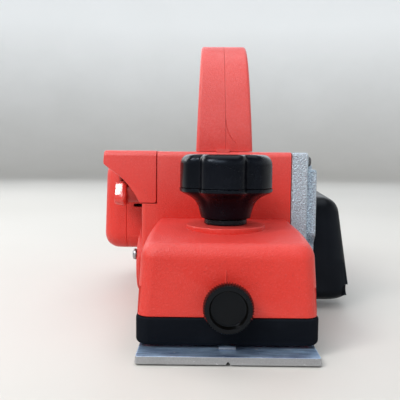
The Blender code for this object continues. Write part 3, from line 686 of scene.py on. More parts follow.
def front_box():
    """Nose part of the shell: near-upright walls rounded into the top."""
    # z, half width, front y, corner radius
    stations = [(NOSE_FOOT, 42.5, -106.5, 6.5), (18.7, 42.75, -106.75, 6.7),
                (NOSE_WALL_TOP, 41.0, -105.75, 7.2)]
    for i in range(1, 13):
        t = radians(90 * i / 12)
        inset = 5.2 * (1 - cos(t))
        stations.append((NOSE_WALL_TOP + (NOSE_TOP - NOSE_WALL_TOP) * sin(t),
                         41.0 - 0.5 * sin(t) - inset,
                         -105.75 + 0.4 * sin(t) + inset, 7.2 - inset * 0.3))
    ob = skin("Z", [(z, rounded(-half, half, front, -20, (r, r, 0, 0), 9))
                    for z, half, front, r in stations], "housing_shell")
    # the top falls towards the nose
    bm = bmesh.new()
    bm.from_mesh(ob.data)
    for y in range(-56, -105, -3):
        bmesh.ops.bisect_plane(bm, geom=bm.verts[:] + bm.edges[:] + bm.faces[:],
                               plane_co=place("X", y, 0, 0), plane_no=(0, 1, 0))
    for v in bm.verts:
        y, z = v.co.y / MM + DRUM_OFFSET, v.co.z / MM
        if y < -55.5 and z > 19:
            drop = 1.2 * ((-55 - y) / 31.7) ** 2.5
            v.co.z -= drop * (z - NOSE_FOOT) / (NOSE_TOP - NOSE_FOOT) * MM
    bm.to_mesh(ob.data)
    bm.free()
    return ob


def body_block():
    sections = []
    for x, inset in BODY_STATIONS:
        outline = offset(BODY, inset)
        sections.append((x, [(y, max(z, 4.3 if y > 13 else 5.2)) for y, z in outline]))
    return skin("X", sections)


def rear_deck():
    stations = [(4.3, 0), (41.5, 0)] + roundover(41.5, 2.5, 2.5, 5)
    return skin("Z", [(z, rounded(-40 + d, 40 - d, 80, 166 - d, (0, 0, 10, 10), 10))
                      for z, d in stations])


def main_housing():
    ob = front_box()
    add(ob,
        prism(rounded(-39.7, 39.7, -104.4, -20, (4, 4, 0, 0), 6), "Z", 5.2, 20),  # lower lip
        body_block(),
        prism(BARREL, "X", -64.2, -45),
        # boss behind the bearing cap
        lathe("X", (DRUM[0], DRUM[1] + 2.5), [(21, -45), (21, -51.2), (20.7, -51.9), (20.0, -52.2)],
              80),
        rear_deck(),
        # disc under the knob
        lathe("Z", KNOB, [(20.8, NOSE_TOP - 3.5), (20.8, NOSE_TOP + 1.1), (20.7, NOSE_TOP + 1.4),
                          (20.45, NOSE_TOP + 1.62), (20.0, NOSE_TOP + 1.7)], 112),
        # small block on the body's top front edge
        prism(rounded(-4.6, 3.4, 94.0, 97.4, (0, 0, 0.8, 0.8), 3), "Y", -26.8, -22))
    cut(ob, prism(rounded(-37.2, 37.2, -102.2, -31, (5.5, 5.5, 0, 0), 6), "Z", 0, NOSE_WALL_TOP),
        box(-4.6, 4.6, -110, -100, 0, 6.4))             # slot for the front sole's lug
    add(ob, box(-20, 20, -99.2, -96.7, 10, 50),         # cross rib
        *[rod("Z", pin, 7, 28, 53) for pin in GUIDE_PINS])
    cut(ob, box(40.25, 60, -28.4, 100, 0, 100),         # bracket seat
        *[rod("Z", pin, 4.5, 20, 49) for pin in GUIDE_PINS],
        rod("Z", KNOB, 6.0, 45, 62),                    # stud hole
        rod("Z", KNOB, 9.6, 45, 52.5),                  # spring seat
        box(-50, 50, -103.5, -99.5, 18.5, 32),          # slot across the nose
        rod("Y", THUMB, 3.3, -110, -95),
        rod("X", DRUM, 27, -42.3, 45, 96),              # drum chamber
        box(-42.3, 45, -14.7, 14.7, 0, 23),             # mouth
        box(-46, 28, -24.8, 9, 30, 92),                 # chip duct
        box(-56, -45, -24.8, 9, 67, 92),                # chip exit
        box(-50, -39.7, -30, -24.9, 64.2, 97),          # seats of the chip hood
        box(-50, -39.7, -26, 9.3, 92.6, 97),
        rod("X", MOTOR, 30.2, -46.5, 45, 96),           # motor room
        rod("X", MOTOR, 27.0, -70, -46, 96),
        rod("X", DRUM, 11.3, -55, -42),                 # drum bearing
        rod("X", DRUM, 18.8, -55, -50.4, 80),           # bearing cap seat
        box(-37, 37, 91, 163, 0, 41))                   # rear room
    add(ob, *[rod("Z", screw, 5, 4.3, 42, 32) for screw in SOLE_SCREWS[2:]])
    cut(ob, *[rod("Z", screw, 2.3, 0, 14.5, 24) for screw in SOLE_SCREWS],
        *[rod("X", screw, 1.9, -60, -44.5, 24) for screw in CAP_SCREWS],
        *[rod("X", screw, 2.3, 29.5, 45, 24) for screw in BRACKET_SCREWS],
        # brush cap holes above and below the motor
        *[rod("Z", (-56.8, MOTOR_Y), 6.7, MOTOR_Z + s * 20, MOTOR_Z + s * 40, 48) for s in (1, -1)],
        # upright slots in the -X wall, then one in the front of the barrel
        *[prism(rounded(56 + k * 4.6, 58.4 + k * 4.6, 8.5, 18.5, 1.15, 4), "X", -60, -44.5)
          for k in range(6)],
        prism(rounded(-59.6, -50.4, 58.0, 60.2, 1.0, 4), "Y", 10, 27))
    # fine raised line up the front of the nose
    add(ob, bar([(-1.0, -106.45, 32.5), (-1.0, -106.3, 35.5), (-1.0, -106.2, 38.5),
                 (-1.0, -106.05, 40.5)], 0.34))
    soften(ob, 0.45, shade=38)
    fit(ob, "housing", "red_plastic", RED, "main_housing")


# =====================================================================
# motor end cover and its screws
# =====================================================================
END_FACE_X = -77
# (x, inset), from the joint with the barrel to the end face
END_STATIONS = ([(-64.3, 0.3), (-64.6, 0.0), (-69.0, 0.0)] + roundover(-69.0, -9.0, 9.0, 9)
                + [(-78, 10.0), (-77.6, 10.5), (-77.1, 10.8), (END_FACE_X, 11.6)])


def lean(x, z):
    """The end face stands out further at its foot."""
    foot = 0.2 + 2.2 * (BARREL_TOP - z) / (BARREL_TOP - BARREL_FOOT)
    return foot * clamp((-64.3 - x) / 13.7)


def motor_end_cover():
    ob = loft([[place("X", y, z, x - lean(x, z)) for y, z in offset(BARREL, inset)]
               for x, inset in END_STATIONS], "motor_end")
    cut(ob, rod("X", MOTOR, 26.5, -67.5, -60, 96), rod("X", MOTOR, 11.3, -75.5, -60))
    # vents, shorter away from the axis
    for k in (-3, -2, -1, 1, 2, 3):
        half = 15 - abs(k) * 1.6
        z = MOTOR_Z + k * 6 + (3 if k > 0 else -3)
        cut(ob, prism(rounded(MOTOR_Y - half, MOTOR_Y + half, z - 1.4, z + 1.4, 1.3, 5),
                      "X", -90, -60))
    for y, z in END_SCREWS:
        cut(ob, rod("X", (y, z), 2.6, -90, -75.4 - lean(END_FACE_X, z), 32))
    soften(ob, 0.4, shade=38)
    fit(ob, "housing", "red_plastic", RED, "motor_end_cover")


def end_cover_screws():
    profile = ((2.0, -74.6), (2.4, -75.0), (2.4, -75.9), (2.1, -76.4), (1.2, -76.6))
    slot_half, slot_length = 0.35, 1.6
    for i, (y, z) in enumerate(END_SCREWS, 1):
        shift = lean(END_FACE_X, z)
        ob = lathe("X", (y, z), [(r, x - shift) for r, x in profile], 28, f"end_cover_screw_{i}")
        cut(ob, *[box(-84, -75.8 - shift, y - dy, y + dy, z - dz, z + dz)
                  for dy, dz in ((slot_length, slot_half), (slot_half, slot_length))])
        smooth(ob, 35)
        fit(ob, "housing", "bright_steel", STEEL)


# =====================================================================
# chip outlet
# =====================================================================
# front view of the hood, its lower outer corner cut away, (x, z)
HOOD = [(-70.2, 95.9), (-71.2, 95.6), (-71.6, 94.9), (-72.1, 89.0), (-71.8, 87.5),
        (-69.0, 85.3), (-63.8, 81.6), (-61.2, 79.5), (-58.8, 77.0), (-56.6, 74.3),
        (-54.7, 71.6), (-52.4, 68.2), (-50.4, 64.9), (-49.9, 64.5), (-41.6, 64.4),
        (-40.3, 64.9), (-40.1, 66.0), (-40.1, 95.9)]
# y, inset, drop of the top edge
HOOD_STATIONS = ((-28.0, 0.5, 3.0), (-27.92, 0.25, 2.6), (-27.4, 0.1, 1.5), (-26.9, 0.0, 0.75),
                 (-26.2, 0.0, 0.25), (-24.9, 0.0, 0.0))
HOOD_LID = [(-40.2, 92.9), (-69.8, 92.9), (-70.4, 93.3), (-71.3, 94.4), (-71.0, 95.2),
            (-70.2, 95.75), (-40.2, 95.75)]
# side view of the chute's curved floor, (y, z)
CHUTE = ([(-16.6, 75.8)] + arc(-14.6, 70.6, 7.8, 7.0, range(150, 271, 12))
         + [(4, 63.6), (8.4, 63.6), (8.4, 65.3), (-12.4, 65.5)]
         + arc(-13.6, 70.9, 6.0, 5.2, (262, 246, 230, 214, 198, 182, 168)) + [(-15.7, 75.2)])
# side view of the nozzle's rim, (y, z), and its (x, inset) stations
RIM = [(-20.6, 76.2), (-22.3, 75.4), (-23.2, 73.6), (-24.3, 71.6), (-25.4, 69.4), (-26.2, 67.6),
       (-26.3, 66.2), (-25.7, 65.0), (-24.3, 63.9), (-22.2, 63.4), (-17, 63.3), (4, 63.3),
       (8.2, 63.3), (8.2, 65.0), (-15, 65.2), (-20.6, 65.6), (-22.4, 66.6), (-22.9, 68.2),
       (-22.3, 70.2), (-21.1, 72.4), (-20.2, 74.2), (-19.6, 75.2)]
RIM_STATIONS = ((-65.6, 0.1), (-65.4, -0.1), (-64.9, -0.25), (-63.0, -0.65), (-61.2, -1.0),
                (-60.6, -1.02), (-59.8, -0.85), (-59.0, -0.4), (-58.6, 0.1))


def chip_outlet():
    hood = skin("Y", [(y, [(u, v - drop * max(0, (v - 90) / 5.9)) for u, v in offset(HOOD, inset)])
                      for y, inset, drop in HOOD_STATIONS], "chip_hood")
    join(hood, prism(HOOD_LID, "Y", -26.0, 8.8), box(-69.2, -49.7, 5.8, 8.6, 63.9, 94.9))
    soften(hood, 0.3)
    fit(hood, "housing", "red_plastic", RED_FINE, "chip_cover")

    nozzle = inset_skin("X", RIM, RIM_STATIONS, "chip_nozzle")
    soften(nozzle, 0.25)
    fit(nozzle, "housing", "red_plastic", RED_POLISHED, "chip_cover")

    chute = prism(CHUTE, "X", -65.0, -49.8, "chip_chute")
    join(chute, box(-64.4, -62.8, -15.5, 7.0, 66.5, 94.5))
    soften(chute, 0.25)
    # the chute and its cheek take the darker red, painted shade
    fit(chute, "housing", "red_plastic", RED_PAINTED_SHADE, "chip_cover")


def bearing_cap():
    """Round cap over the drum's bearing on the -X side."""
    ob = lathe("X", DRUM, [(18.4, -50.7), (18.4, -52.5), (18.0, -53.2), (17.3, -53.6),
                           (9.5, -53.6), (8.9, -53.3), (8.5, -52.8), (3, -52.7)],
               88, "bearing_cap")
    cut(ob, *[rod("X", screw, 1.9, -60, -44, 32) for screw in CAP_SCREWS])
    soften(ob, 0.2, shade=38)
    fit(ob, "housing", "red_plastic", RED, "drum_bearing_cap")


# =====================================================================
# D-handle, two shells
# =====================================================================
# side view, (y, z): inner edge from the front foot to the rear foot, then back over the outside
GRIP = [(-24, 95.8), (14, 95.8), (13, 104), (14.5, 115), (19, 123), (30, 127.5), (50, 125),
        (78, 116.5), (100, 105), (116, 92), (126, 76), (129.5, 60), (128, 44.3),
        (165.5, 44.3), (165, 60), (158, 82), (145, 104), (125, 123), (100, 139), (70, 152.5),
        (40, 161), (18, 164), (5, 162.8), (-6, 158), (-14.5, 149), (-20.5, 135),
        (-23.7, 118), (-24.6, 105)]
GRIP_FEET = (0, 1, 12, 13)              # sharp points that rest on the housing
GRIP_MID_X, GRIP_HALF = 0.3, 17.0
SPLIT_X, SPLIT_GAP = 1.3, 0.05
WALL, GRIP_EDGE = 3.0, 2.2
# towards its top the grip narrows and shifts to -X, and so does the split
TAPER, GRIP_SHIFT, SPLIT_SHIFT = 0.16, 0.35, 1.3
# raised curved line on the front of the +X shell, (x, y, z)
GRIP_LINE = [(0.9, -24.0, 114.5), (1.4, -24.2, 111.3), (2.3, -24.4, 108), (3.7, -24.5, 104.9),
             (5.6, -24.5, 102.3), (7.6, -24.4, 100.4)]


def grip_ring(x, inset, outer):
    """One section; outer ones follow the side, the others the split."""
    points = offset(GRIP, inset) if inset else GRIP
    if outer and 0 < inset < WALL:
        for i in GRIP_FEET:
            points[i] = (points[i][0], GRIP[i][1])
    out = []
    for y, z in spline(points, GRIP_FEET):
        f = clamp((z - 96) / 64)
        if outer:
            px = GRIP_MID_X + (x - GRIP_MID_X) * (1 - TAPER * f) - GRIP_SHIFT * f
        else:
            px = x - SPLIT_SHIFT * f
        out.append(place("X", y, z, px))
    return out


def grip_shell(side, name):
    """Cavity, parting rim, flank and side in one skin."""
    x_out = GRIP_MID_X + side * GRIP_HALF
    x_in = SPLIT_X + side * SPLIT_GAP
    stations = [(x_out - side * WALL, WALL, True), (x_in, WALL, False), (x_in, 0.13, False),
                (x_in + side * 0.12, 0.02, False), (x_in + side * 0.4, 0, False),
                (x_out - side * GRIP_EDGE, 0, True)]
    stations += [(x, inset, True) for x, inset in
                 roundover(x_out - side * GRIP_EDGE, side * GRIP_EDGE, GRIP_EDGE, 5)]
    return loft([grip_ring(*station) for station in stations], name)


def grip_half(side, name, node):
    ob = grip_shell(side, name)
    cut(ob, box(-3.5, 6.5, 27, 66, 110, 134),           # trigger slot
        rod("Y", CORD, 5.9, 150, 175, 48))
    if side < 0:
        cut(ob, rod("X", LOCK, 4.4, -30, -5, 48))
    for screw in GRIP_SCREWS:
        if side < 0:
            add(ob, rod("X", screw, 4.2, -15, SPLIT_X - 0.15, 24))
            cut(ob, rod("X", screw, 1.9, -9, 6, 24))
        else:
            add(ob, rod("X", screw, 4.2, SPLIT_X + 0.15, 15.2, 24))
            cut(ob, rod("X", screw, 1.9, -9, 20, 24), rod("X", screw, 4.0, 12.5, 25, 40))
    if side > 0:
        cut(ob, bar(GRIP_LINE, 0.42))
    soften(ob, 0.3, angle=40)
    fit(ob, "housing", "red_plastic", RED, node)


# =====================================================================
# rubber band and soles
# =====================================================================
SOLE_HALF = 42


def nose_band():
    stations = ((5.0, 1.9), (5.15, 1.2), (5.55, 0.6), (6.1, 0.22), (6.9, 0.0), (17.1, 0.0),
                (17.6, 0.14), (17.95, 0.42), (18.1, 0.8))
    ob = skin("Z", [(z, rounded(-43.2 + d, 43.2 - d, -107.4 + d, -28.4,
                                (6.8 - d, 6.8 - d, 0, 0), 9)) for z, d in stations], "nose_band")
    cut(ob, prism(rounded(-40.0, 40.0, -104.7, -20, (3.7, 3.7, 0, 0), 8), "Z", 0, 30),
        box(-4.2, 4.2, -112, -100, 0, 6.1))             # notch for the front sole's lug
    soften(ob, 0.12, segments=1, angle=40, shade=45)
    fit(ob, "housing", "black_rubber", BAND_RUBBER, "front_skirt")


def front_sole():
    stations = ((0, 0.35), (0.3, 0.05), (0.6, 0.0), (3.1, 0.25), (3.55, 0.42), (3.8, 0.8))
    ob = skin("Z", [(z, rounded(-SOLE_HALF + d, SOLE_HALF - d, -118 + d, -15 - d * 0.5,
                                (1.2, 1.2, 0.4, 0.4), 4)) for z, d in stations],
              "sole_front_plate")
    cut(ob, box(-50, -38.6, -104.6, 0, 3.2, 9), box(38.6, 50, -104.6, 0, 3.2, 9))  # side steps
    add(ob, lathe("Z", KNOB, [(10.4, 2), (10.4, 3.9), (9.3, 5.0), (9, 6.5), (9, 25.5), (8.5, 26)],
                  56),                                  # column under the knob
        *[rod("Z", pin, 4, 2, 46, 40) for pin in GUIDE_PINS],
        box(-3.9, 3.9, -108.4, -105.5, 2, 4.8),         # lug
        box(-34, 34, -92, -89.6, 3, 8),                 # cross ribs
        box(-34, 34, -42, -39.6, 3, 8))
    groove = [(-1.55, -0.5), (1.55, -0.5), (1.15, 0), (0.35, 1.5), (-0.35, 1.5), (-1.15, 0)]
    cut(ob, rod("Z", KNOB, 4.3, 5, 30, 40), prism(groove, "Y", -130, 0))
    soften(ob, 0.18)
    fit(ob, "front_sole", "sole_aluminium", SOLE_METAL, "front_sole")


def rear_sole():
    stations = ((0, 0.35), (0.3, 0.05), (0.6, 0.0), (3.4, 0.0), (3.8, 0.15), (4.0, 0.5))
    ob = skin("Z", [(z, rounded(-SOLE_HALF + d, SOLE_HALF - d, 15 + d * 0.5, 172 - d,
                                (0.4, 0.4, 2.5, 2.5), 5)) for z, d in stations],
              "sole_rear_plate")
    cut(ob, *[lathe("Z", screw, [(4.6, -0.5), (4.6, 0.2), (2.4, 2.6), (2.4, 6)], 40)
              for screw in SOLE_SCREWS])
    soften(ob, 0.12, segments=1)
    fit(ob, "housing", "sole_aluminium", SOLE_METAL, "rear_sole")


# =====================================================================
# cross-head screws
# =====================================================================
def cross_recess(ob, axis, centre, start, end, half_width, half_length):
    u, v = centre
    for du, dv in ((half_width, half_length), (half_length, half_width)):
        cut(ob, prism([(u - du, v - dv), (u + du, v - dv), (u + du, v + dv), (u - du, v + dv)],
                      axis, start, end))


def sole_screws():
    for i, screw in enumerate(SOLE_SCREWS, 1):
        ob = lathe("Z", screw, [(3.8, 0.3), (4.0, 0.45), (4.0, 0.6), (2.0, 2.6), (2.0, 14)],
                   36, f"sole_screw_{i}")
        cross_recess(ob, "Z", screw, -1, 1.5, half_width=0.45, half_length=2.2)
        smooth(ob, 35)
        fit(ob, "housing", "bright_steel", STEEL, f"rear_sole_screw_{i}")


# name, node, (y, z) places, x of shank end, head seat and head top, head and shank radius, finish
PAN_SCREWS = (
    ("bracket_bolt", "bracket_screw", BRACKET_SCREWS, 31, 50.5, 53.2, 3.2, 2.0, BLACK_STEEL),
    ("cover_screw", "belt_cover_screw", GUARD_SCREWS, 45, 69.8, 72.5, 3.3, 1.8, STEEL),
    ("cap_screw", "bearing_cap_screw", CAP_SCREWS, -45.5, -53.9, -56.1, 3.4, 1.6, STEEL),
    ("grip_screw", "handle_screw", GRIP_SCREWS, -7, 12.8, 15.0, 3.4, 1.6, STEEL),
)


def pan_screws():
    for name, node, places, x_end, seat, top, head, shank, finish in PAN_SCREWS:
        side = 1 if top > seat else -1
        height = top - seat
        profile = [(shank, x_end), (shank, seat), (head - 0.15, seat), (head, seat + side * 0.2),
                   (head, seat + height * 0.5), (head - 0.35, seat + height * 0.78),
                   (head - 0.9, seat + height * 0.93), (head - 1.6, top), (0.6, top)]
        for i, centre in enumerate(places, 1):
            ob = lathe("X", centre, profile, 40, f"{name}_{i}")
            cross_recess(ob, "X", centre, top - side * 1.1, top + side * 2,
                         half_width=0.42, half_length=head * 0.62)
            smooth(ob, 35)
            fit(ob, "housing", "bright_steel", finish, f"{node}_{i}")


# =====================================================================
# cast bearing bracket, +X side
# =====================================================================
# corners (y, z, radius) of the plate and of the raised pad on it
BRACKET = fillet([(-28, 92.8, 0), (-28, 20, 5), (-26, 9.5, 4), (-21, 4.9, 3), (14, 4.9, 8),
                  (40, 14, 10), (70, 26, 10), (84, 42, 10), (86, 57, 16), (84, 72, 16),
                  (75, 86, 12), (60, 95.4, 10), (-25, 95.4, 0), (-27.3, 94.6, 0)])
PAD = fillet([(-25.5, 85.3, 0.8), (-27, 83.8, 0.8), (-27, 46, 4.5), (-22, 40, 2.5), (-22, 9, 2),
              (-19, 5.1, 2), (14, 5.1, 5), (38, 15, 8), (66, 28, 8), (79, 42, 8), (81, 57, 14),
              (79, 70, 12), (71, 82, 8), (60, 88.5, 5), (-9, 88.5, 1.5), (-12.5, 85.3, 1.5)])


def bearing_bracket():
    ob = inset_skin("X", BRACKET, ((40.5, 0.25), (40.8, 0.0), (49.2, 0.0), (49.8, 0.2),
                                   (50.2, 0.6), (50.4, 1.1)), "bracket_casting")
    add(ob, inset_skin("X", PAD, ((49, 0.0), (54.9, 0.0), (55.4, 0.25), (55.7, 0.7))))
    cut(ob, rod("X", DRUM, 13.3, 40, 49.2), rod("X", DRUM, 8, 40, 60),
        rod("X", MOTOR, 27, 40, 43.2, 96), rod("X", MOTOR, 11.3, 40, 50.5),
        rod("X", MOTOR, 7, 40, 60),
        *[rod("X", screw, 2.1, 44, 60, 32) for screw in GUARD_SCREWS])
    for screw in BRACKET_SCREWS:
        cut(ob, rod("X", screw, 2.3, 40, 60, 32), rod("X", screw, 4.2, 50.4, 60, 48))
    soften(ob, 0.35, shade=38)
    fit(ob, "housing", "cast_aluminium", CAST, "bearing_bracket")


# =====================================================================
# belt guard
# =====================================================================
# circles the guard is stretched round, (y, z, radius)
GUARD_CIRCLES = [(*DRUM, 18.0), (-9.4, 11.2, 8.6), (7, 54, 13.0), (*MOTOR, 12.4),
                 (*GUARD_SCREWS[0], 5.2), (*GUARD_SCREWS[1], 5.0)]
GUARD_STATIONS = [(56.0, 0.4), (56.3, 0), (62, 0), (66.8, 0)] + roundover(66.8, 12.0, 9.0, 10)
# hollow: radius at the drum and at the motor, sides, x from and to
GUARD_ROOMS = ((15.8, 10.6, 96, 50, 69.6), (14.4, 9.0, 80, 69, 71.2), (10.0, 6.0, 64, 70, 73.4))


def guard_ring(x, inset):
    points = []
    full = wrap(GUARD_CIRCLES, 160)
    for (y0, z0), (y1, z1) in zip(full, wrap(GUARD_CIRCLES, 160, inset)):
        k = 0.5 + 0.5 * clamp((z0 - 20) / 25)           # the lower edge is tighter
        y, z = y0 + (y1 - y0) * k, z0 + (z1 - z0) * k
        # the outer face leans in towards its top
        points.append(place("X", y, z, x - 3.0 * (z - 5) / 65 * (x - 56) / 22.8))
    return points


def belt_guard():
    ob = loft([guard_ring(x, inset) for x, inset in GUARD_STATIONS], "belt_guard")
    cut(ob, *[prism(wrap([(*DRUM, at_drum), (*MOTOR, at_motor)], sides), "X", start, end)
              for at_drum, at_motor, sides, start, end in GUARD_ROOMS])
    for screw in GUARD_SCREWS:
        cut(ob, rod("X", screw, 2.1, 50, 90, 32), rod("X", screw, 4.2, 69.5, 90, 48))
    soften(ob, 0.3, angle=40, shade=42)
    fit(ob, "housing", "black_plastic", BLACK_MOULDED, "belt_cover")


# =====================================================================
# depth knob and scale ring
# =====================================================================
LOBES, LOBE_SHARPNESS, LOBE_DEPTH = 5, 6, 3.3
# radius, z, share of the lobe depth
KNOB_LOWER = [(12.6, 60.75, 0), (13.0, 60.85, 0), (13.2, 61.2, 0), (13.35, 62.0, 0),
              (13.9, 64.2, 0.02), (14.5, 66.4, 0.06), (15.4, 68.4, 0.12), (16.6, 70.0, 0.22),
              (18.2, 71.4, 0.36), (20.3, 72.6, 0.55), (22.4, 73.6, 0.78), (23.9, 74.4, 0.95),
              (24.3, 74.75, 1.0), (24.5, 75.1, 1.0), (24.55, 76.2, 1.0), (24.45, 76.42, 1.0),
              (24.1, 76.5, 1.0)]
KNOB_TOP = ([(23.8, 76.72, 1), (24.1, 76.76, 1), (24.25, 76.9, 1), (24.25, 80, 1), (24.25, 84, 1),
             (24.2, 88.6, 1)]
            + [(24.2 - 4.9 * (1 - cos(radians(a))), 88.6 + 5.3 * sin(radians(a)),
                1 - 0.35 * a / 90) for a in range(15, 91, 15)]
            + [(16.5, 93.95, 0.4), (15.4, 93.7, 0.3), (14.8, 93.2, 0.15), (14.2, 93.0, 0.05),
               (8, 93.0, 0)])


def lobed(radius, share, sides=280):
    radii = []
    for i in range(sides):
        t = 2 * pi * i / sides
        w = 0.5 + 0.5 * cos(LOBES * (t + pi / 2 + radians(6.5)))
        radii.append(radius - share * LOBE_DEPTH * (1 - w) ** LOBE_SHARPNESS)
    return polar(KNOB, radii)


def knob_part(name, profile, bore, node):
    """bore is (radius, from z, to z)."""
    ob = skin("Z", [(z, lobed(radius, share)) for radius, z, share in profile], name)
    cut(ob, rod("Z", KNOB, *bore, 48))
    soften(ob, 0, shade=42)
    fit(ob, "knob", "black_plastic", BLACK_GLOSS, node)


def scale_ring():
    ob = ring("Z", KNOB, [(6.0, 57.6), (11.0, 57.6), (11.3, 57.9), (11.3, 60.0), (10.9, 60.3),
                          (6.0, 60.3)], 96, "scale_ring")
    smooth(ob, 35)
    fit(ob, "housing", "black_plastic", BLACK_SATIN, "depth_scale_ring")


# =====================================================================
# thumb wheel with a knurled rim
# =====================================================================
TEETH = 56
TOOTH = (0.0, 0.6, 1.0, 0.6)            # height round one tooth, as a share of its depth
# y, radius, tooth depth
THUMB_STATIONS = (
    (-109.0, 6.0, 0), (-111.1, 6.0, 0), (-111.2, 10.4, 0.0), (-111.5, 11.1, 0.5),
    (-111.9, 11.5, 0.8), (-114.5, 11.55, 0.95), (-117.0, 11.5, 0.95), (-117.45, 11.2, 0.6),
    (-117.8, 10.8, 0.25), (-118.0, 10.2, 0), (-118.0, 9.0, 0), (-117.9, 8.75, 0),
    (-117.55, 8.5, 0), (-116.2, 8.25, 0), (-115.75, 8.0, 0), (-115.5, 7.5, 0),
    (-115.45, 7.0, 0), (-115.6, 5.0, 0), (-115.65, 2.0, 0))


def thumb_wheel():
    ob = skin("Y", [(y, polar(THUMB, [radius - depth * (1 - k) for k in TOOTH * TEETH]))
                    for y, radius, depth in THUMB_STATIONS], "thumb_wheel")
    cut(ob, rod("Y", THUMB, 3.1, -115, -100, 32))
    soften(ob, 0, shade=26)
    fit(ob, "thumb_screw", "black_plastic", BLACK_POLISHED, "thumb_knob")


# =====================================================================
# cord, trigger, lock button
# =====================================================================
def strain_relief():
    profile = [(3.8, 152), (8, 152), (8, 156), (5.5, 156), (5.5, 166.3), (6.6, 166.5),
               (7.1, 166.9), (7.2, 167.6), (7.2, 169.4)]
    # six ribs that shrink backwards
    for k in range(6):
        y = 171 + k * 4.1
        r = 7.1 - (y - 170) * 0.083
        profile += [(r, y), (r - 0.05, y + 1.9), (r - 1.1, y + 2.3), (r - 1.15, y + 3.6)]
    profile += [(5.1, 195.6), (4.8, 196), (3.8, 196)]
    ob = ring("Y", CORD, profile, 56, "strain_relief")
    smooth(ob, 38)
    fit(ob, "housing", "black_rubber", CORD_RUBBER, "cord_guard")


def mains_cord():
    ripple = [(3.4 + 0.03 * (k % 2), 150 + k * 4) for k in range(24)]
    ob = lathe("Y", CORD, [(3.4, 146)] + ripple + [(3.4, 245.6), (3.1, 246)], 48, "mains_cord")
    smooth(ob, 38)
    fit(ob, "housing", "black_rubber", CORD_RUBBER, "power_cord")


def trigger_lever():
    # corners (y, z, radius)
    outline = fillet([(28.5, 121, 2.5), (33, 116.5, 3), (42, 116.2, 6), (56, 119.5, 8),
                      (64.5, 124.5, 3), (65, 129.5, 1), (56, 131, 1), (28.5, 131, 0.6)])
    ob = inset_skin("X", outline, ((-3.0, 1.3), (-2.85, 0.7), (-2.3, 0.2), (-1.5, 0), (4.5, 0),
                                   (5.3, 0.2), (5.85, 0.7), (6.0, 1.3)), "trigger_lever")
    smooth(ob, 38)
    fit(ob, "trigger", "black_plastic", BLACK_SATIN, "trigger")


def lock_pin():
    ob = lathe("X", LOCK, [(3.0, -8.8), (4.0, -9.2), (4.0, -14.9), (3.8, -15.3), (3.4, -15.6),
                           (2.8, -15.7), (1.6, -15.5), (0.5, -15.45)], 48, "lock_pin")
    smooth(ob, 38)
    fit(ob, "lock_button", "black_plastic", BLACK_SATIN, "lock_button")


def frame_pieces():
    dress(DRUM_METAL, "drum_body", "drum_pulley", "motor_pulley")
    dress(BLADE_STEEL, "blade_1", "blade_2")
    dress(DARK_STEEL, "blade_clamp_1", "blade_clamp_2", "depth_stud", "sole_spring", "thumb_screw")
    dress(STEEL, "drum_shaft", "armature_shaft", "drum_bearing_left", "drum_bearing_right",
          "motor_bearing_left", "motor_bearing_right")
    dress(LAMINATIONS, "stator", "armature_core")
    dress(COPPER_WIRE, "field_coil_upper", "field_coil_lower", "armature_winding")
    dress(COMMUTATOR, "commutator")
    dress(CARBON, "carbon_brush_upper", "carbon_brush_lower")
    dress(BLACK_SATIN, "cooling_fan", "switch_body", "brush_cap_upper", "brush_cap_lower")
    dress(BELT_RUBBER, "drive_belt")


# =====================================================================
# floor, lights, world and camera, in metres
# =====================================================================
def floor_paint():
    """Pale paint that glows a little where the floor curves up."""
    m = Shader("floor_paint")
    cloud = m.noise(scale=3.0, detail=4, roughness=0.6)
    sheen = m.noise(scale=6, detail=4, roughness=0.6)
    height = m.height_of(m.geometry("Position"))
    m.surface(Base_Color=m.mix(m.remap(cloud, span=(0.3, 0.7)), (204, 201, 195), (212, 209, 204)),
              Roughness=m.remap(sheen, span=(0.3, 0.7), to=(0.5, 0.62)),
              Emission_Color=(0.86, 0.93, 1.0),
              Emission_Strength=m.remap(height, span=(0.0, 0.8), to=(0.0, 0.5)))
    return m.material


def studio_floor(sides=96):
    """Round floor with a curved rise and an upright wall."""
    material = floor_paint()
    flat, bend = 2.0, 0.7
    profile = [(0.4, 0.0), (1.0, 0.0), (flat, 0.0)]
    profile += [(flat + bend * sin(radians(a)), bend - bend * cos(radians(a)))
                for a in range(9, 91, 9)]
    profile += [(flat + bend, 1.9)]
    bm = bmesh.new()
    rows = [[bm.verts.new((u, v, z)) for u, v in polar((0, 0), [r] * sides)] for r, z in profile]
    bm.faces.new(rows[0])
    for a, b in zip(rows[:-1], rows[1:]):
        bridge(bm, a, b)
    bmesh.ops.recalc_face_normals(bm, faces=bm.faces)
    mesh = bpy.data.meshes.new("floor")
    bm.to_mesh(mesh)
    bm.free()
    mesh.shade_smooth()
    ob = new_object("floor", mesh)
    mesh.materials.append(material)
    ob.location.z = -0.0006             # just under the soles


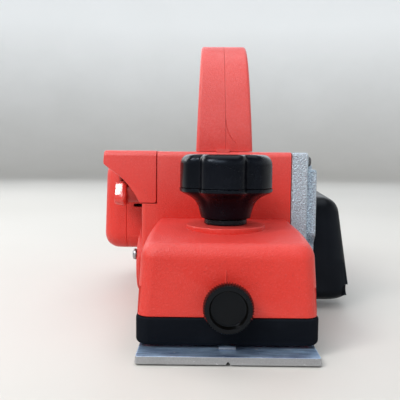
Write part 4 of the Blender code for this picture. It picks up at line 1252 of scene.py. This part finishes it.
# name, location, target, width, height, watts, linear colour
LIGHTS = (
    ("key", (-0.85, -0.8, 1.15), (0, -0.1, 0.05), 0.45, 0.45, 11, (1.0, 0.98, 0.96)),
    ("front", (-0.4, -1.15, 0.92), (0, -0.1, 0.12), 0.55, 0.42, 4.6, (0.88, 0.95, 1.0)),
    ("fill", (0.9, -0.6, 0.6), (0, -0.1, 0.06), 0.9, 0.9, 0.6, (0.93, 0.96, 1.0)),
    ("top", (0.0, 0.0, 1.3), (0, -0.1, 0), 1.1, 1.1, 7.0, (0.96, 0.98, 1.0)),
    ("back", (0.0, 1.35, 0.75), (0, -0.1, 0.06), 1.8, 0.7, 5, (0.86, 0.93, 1.0)),
    ("rim", (-0.9, 0.6, 0.7), (0, 0, 0.08), 0.6, 0.6, 4, (1.0, 0.99, 0.97)),
)


def lights():
    for name, location, target, width, height, watts, colour in LIGHTS:
        light = bpy.data.lights.new(name, "AREA")
        light.shape = "RECTANGLE"
        light.size, light.size_y = width, height
        light.energy = watts
        light.color = colour
        ob = new_object(name, light)
        ob.location = location
        ob.visible_camera = False
        aim = Vector(target) - Vector(location)
        ob.rotation_euler = aim.to_track_quat("-Z", "Y").to_euler()


def world():
    studio = bpy.data.worlds.new("studio")
    studio.use_nodes = True
    background = studio.node_tree.nodes["Background"]
    background.inputs["Color"].default_value = (0.86, 0.89, 0.93, 1)
    background.inputs["Strength"].default_value = 0.30
    scene = bpy.context.scene
    scene.world = studio
    scene.view_settings.view_transform = "Standard"
    scene.view_settings.look = "None"


def camera():
    pitch, yaw, roll = radians(4.645), radians(0.534), radians(0.512)
    data = bpy.data.cameras.new("camera")
    data.lens = 49.8
    data.sensor_width = 36.0
    data.clip_start, data.clip_end = 0.01, 20
    ob = new_object("camera", data)
    ob.location = place("Z", -10.94, -358.0, 93.48)
    ob.rotation_mode = "XYZ"
    turn = (Matrix.Rotation(yaw, 4, "Z") @ Matrix.Rotation(pi / 2 - pitch, 4, "X")
            @ Matrix.Rotation(roll, 4, "Z"))
    ob.rotation_euler = turn.to_euler("XYZ")
    bpy.context.scene.camera = ob


main_housing()
motor_end_cover()
end_cover_screws()
chip_outlet()
bearing_cap()
grip_half(-1, "grip_left", "handle_left")
grip_half(1, "grip_right", "handle_right")
nose_band()
front_sole()
rear_sole()
sole_screws()
bearing_bracket()
pan_screws()
belt_guard()
knob_part("knob_lower", KNOB_LOWER, (4.6, 50, 80), "knob_base")
knob_part("knob_top", KNOB_TOP, (8, 70, 84), "knob_cap")
scale_ring()
thumb_wheel()
strain_relief()
mains_cord()
trigger_lever()
lock_pin()
frame_pieces()
studio_floor()
lights()
world()
camera()
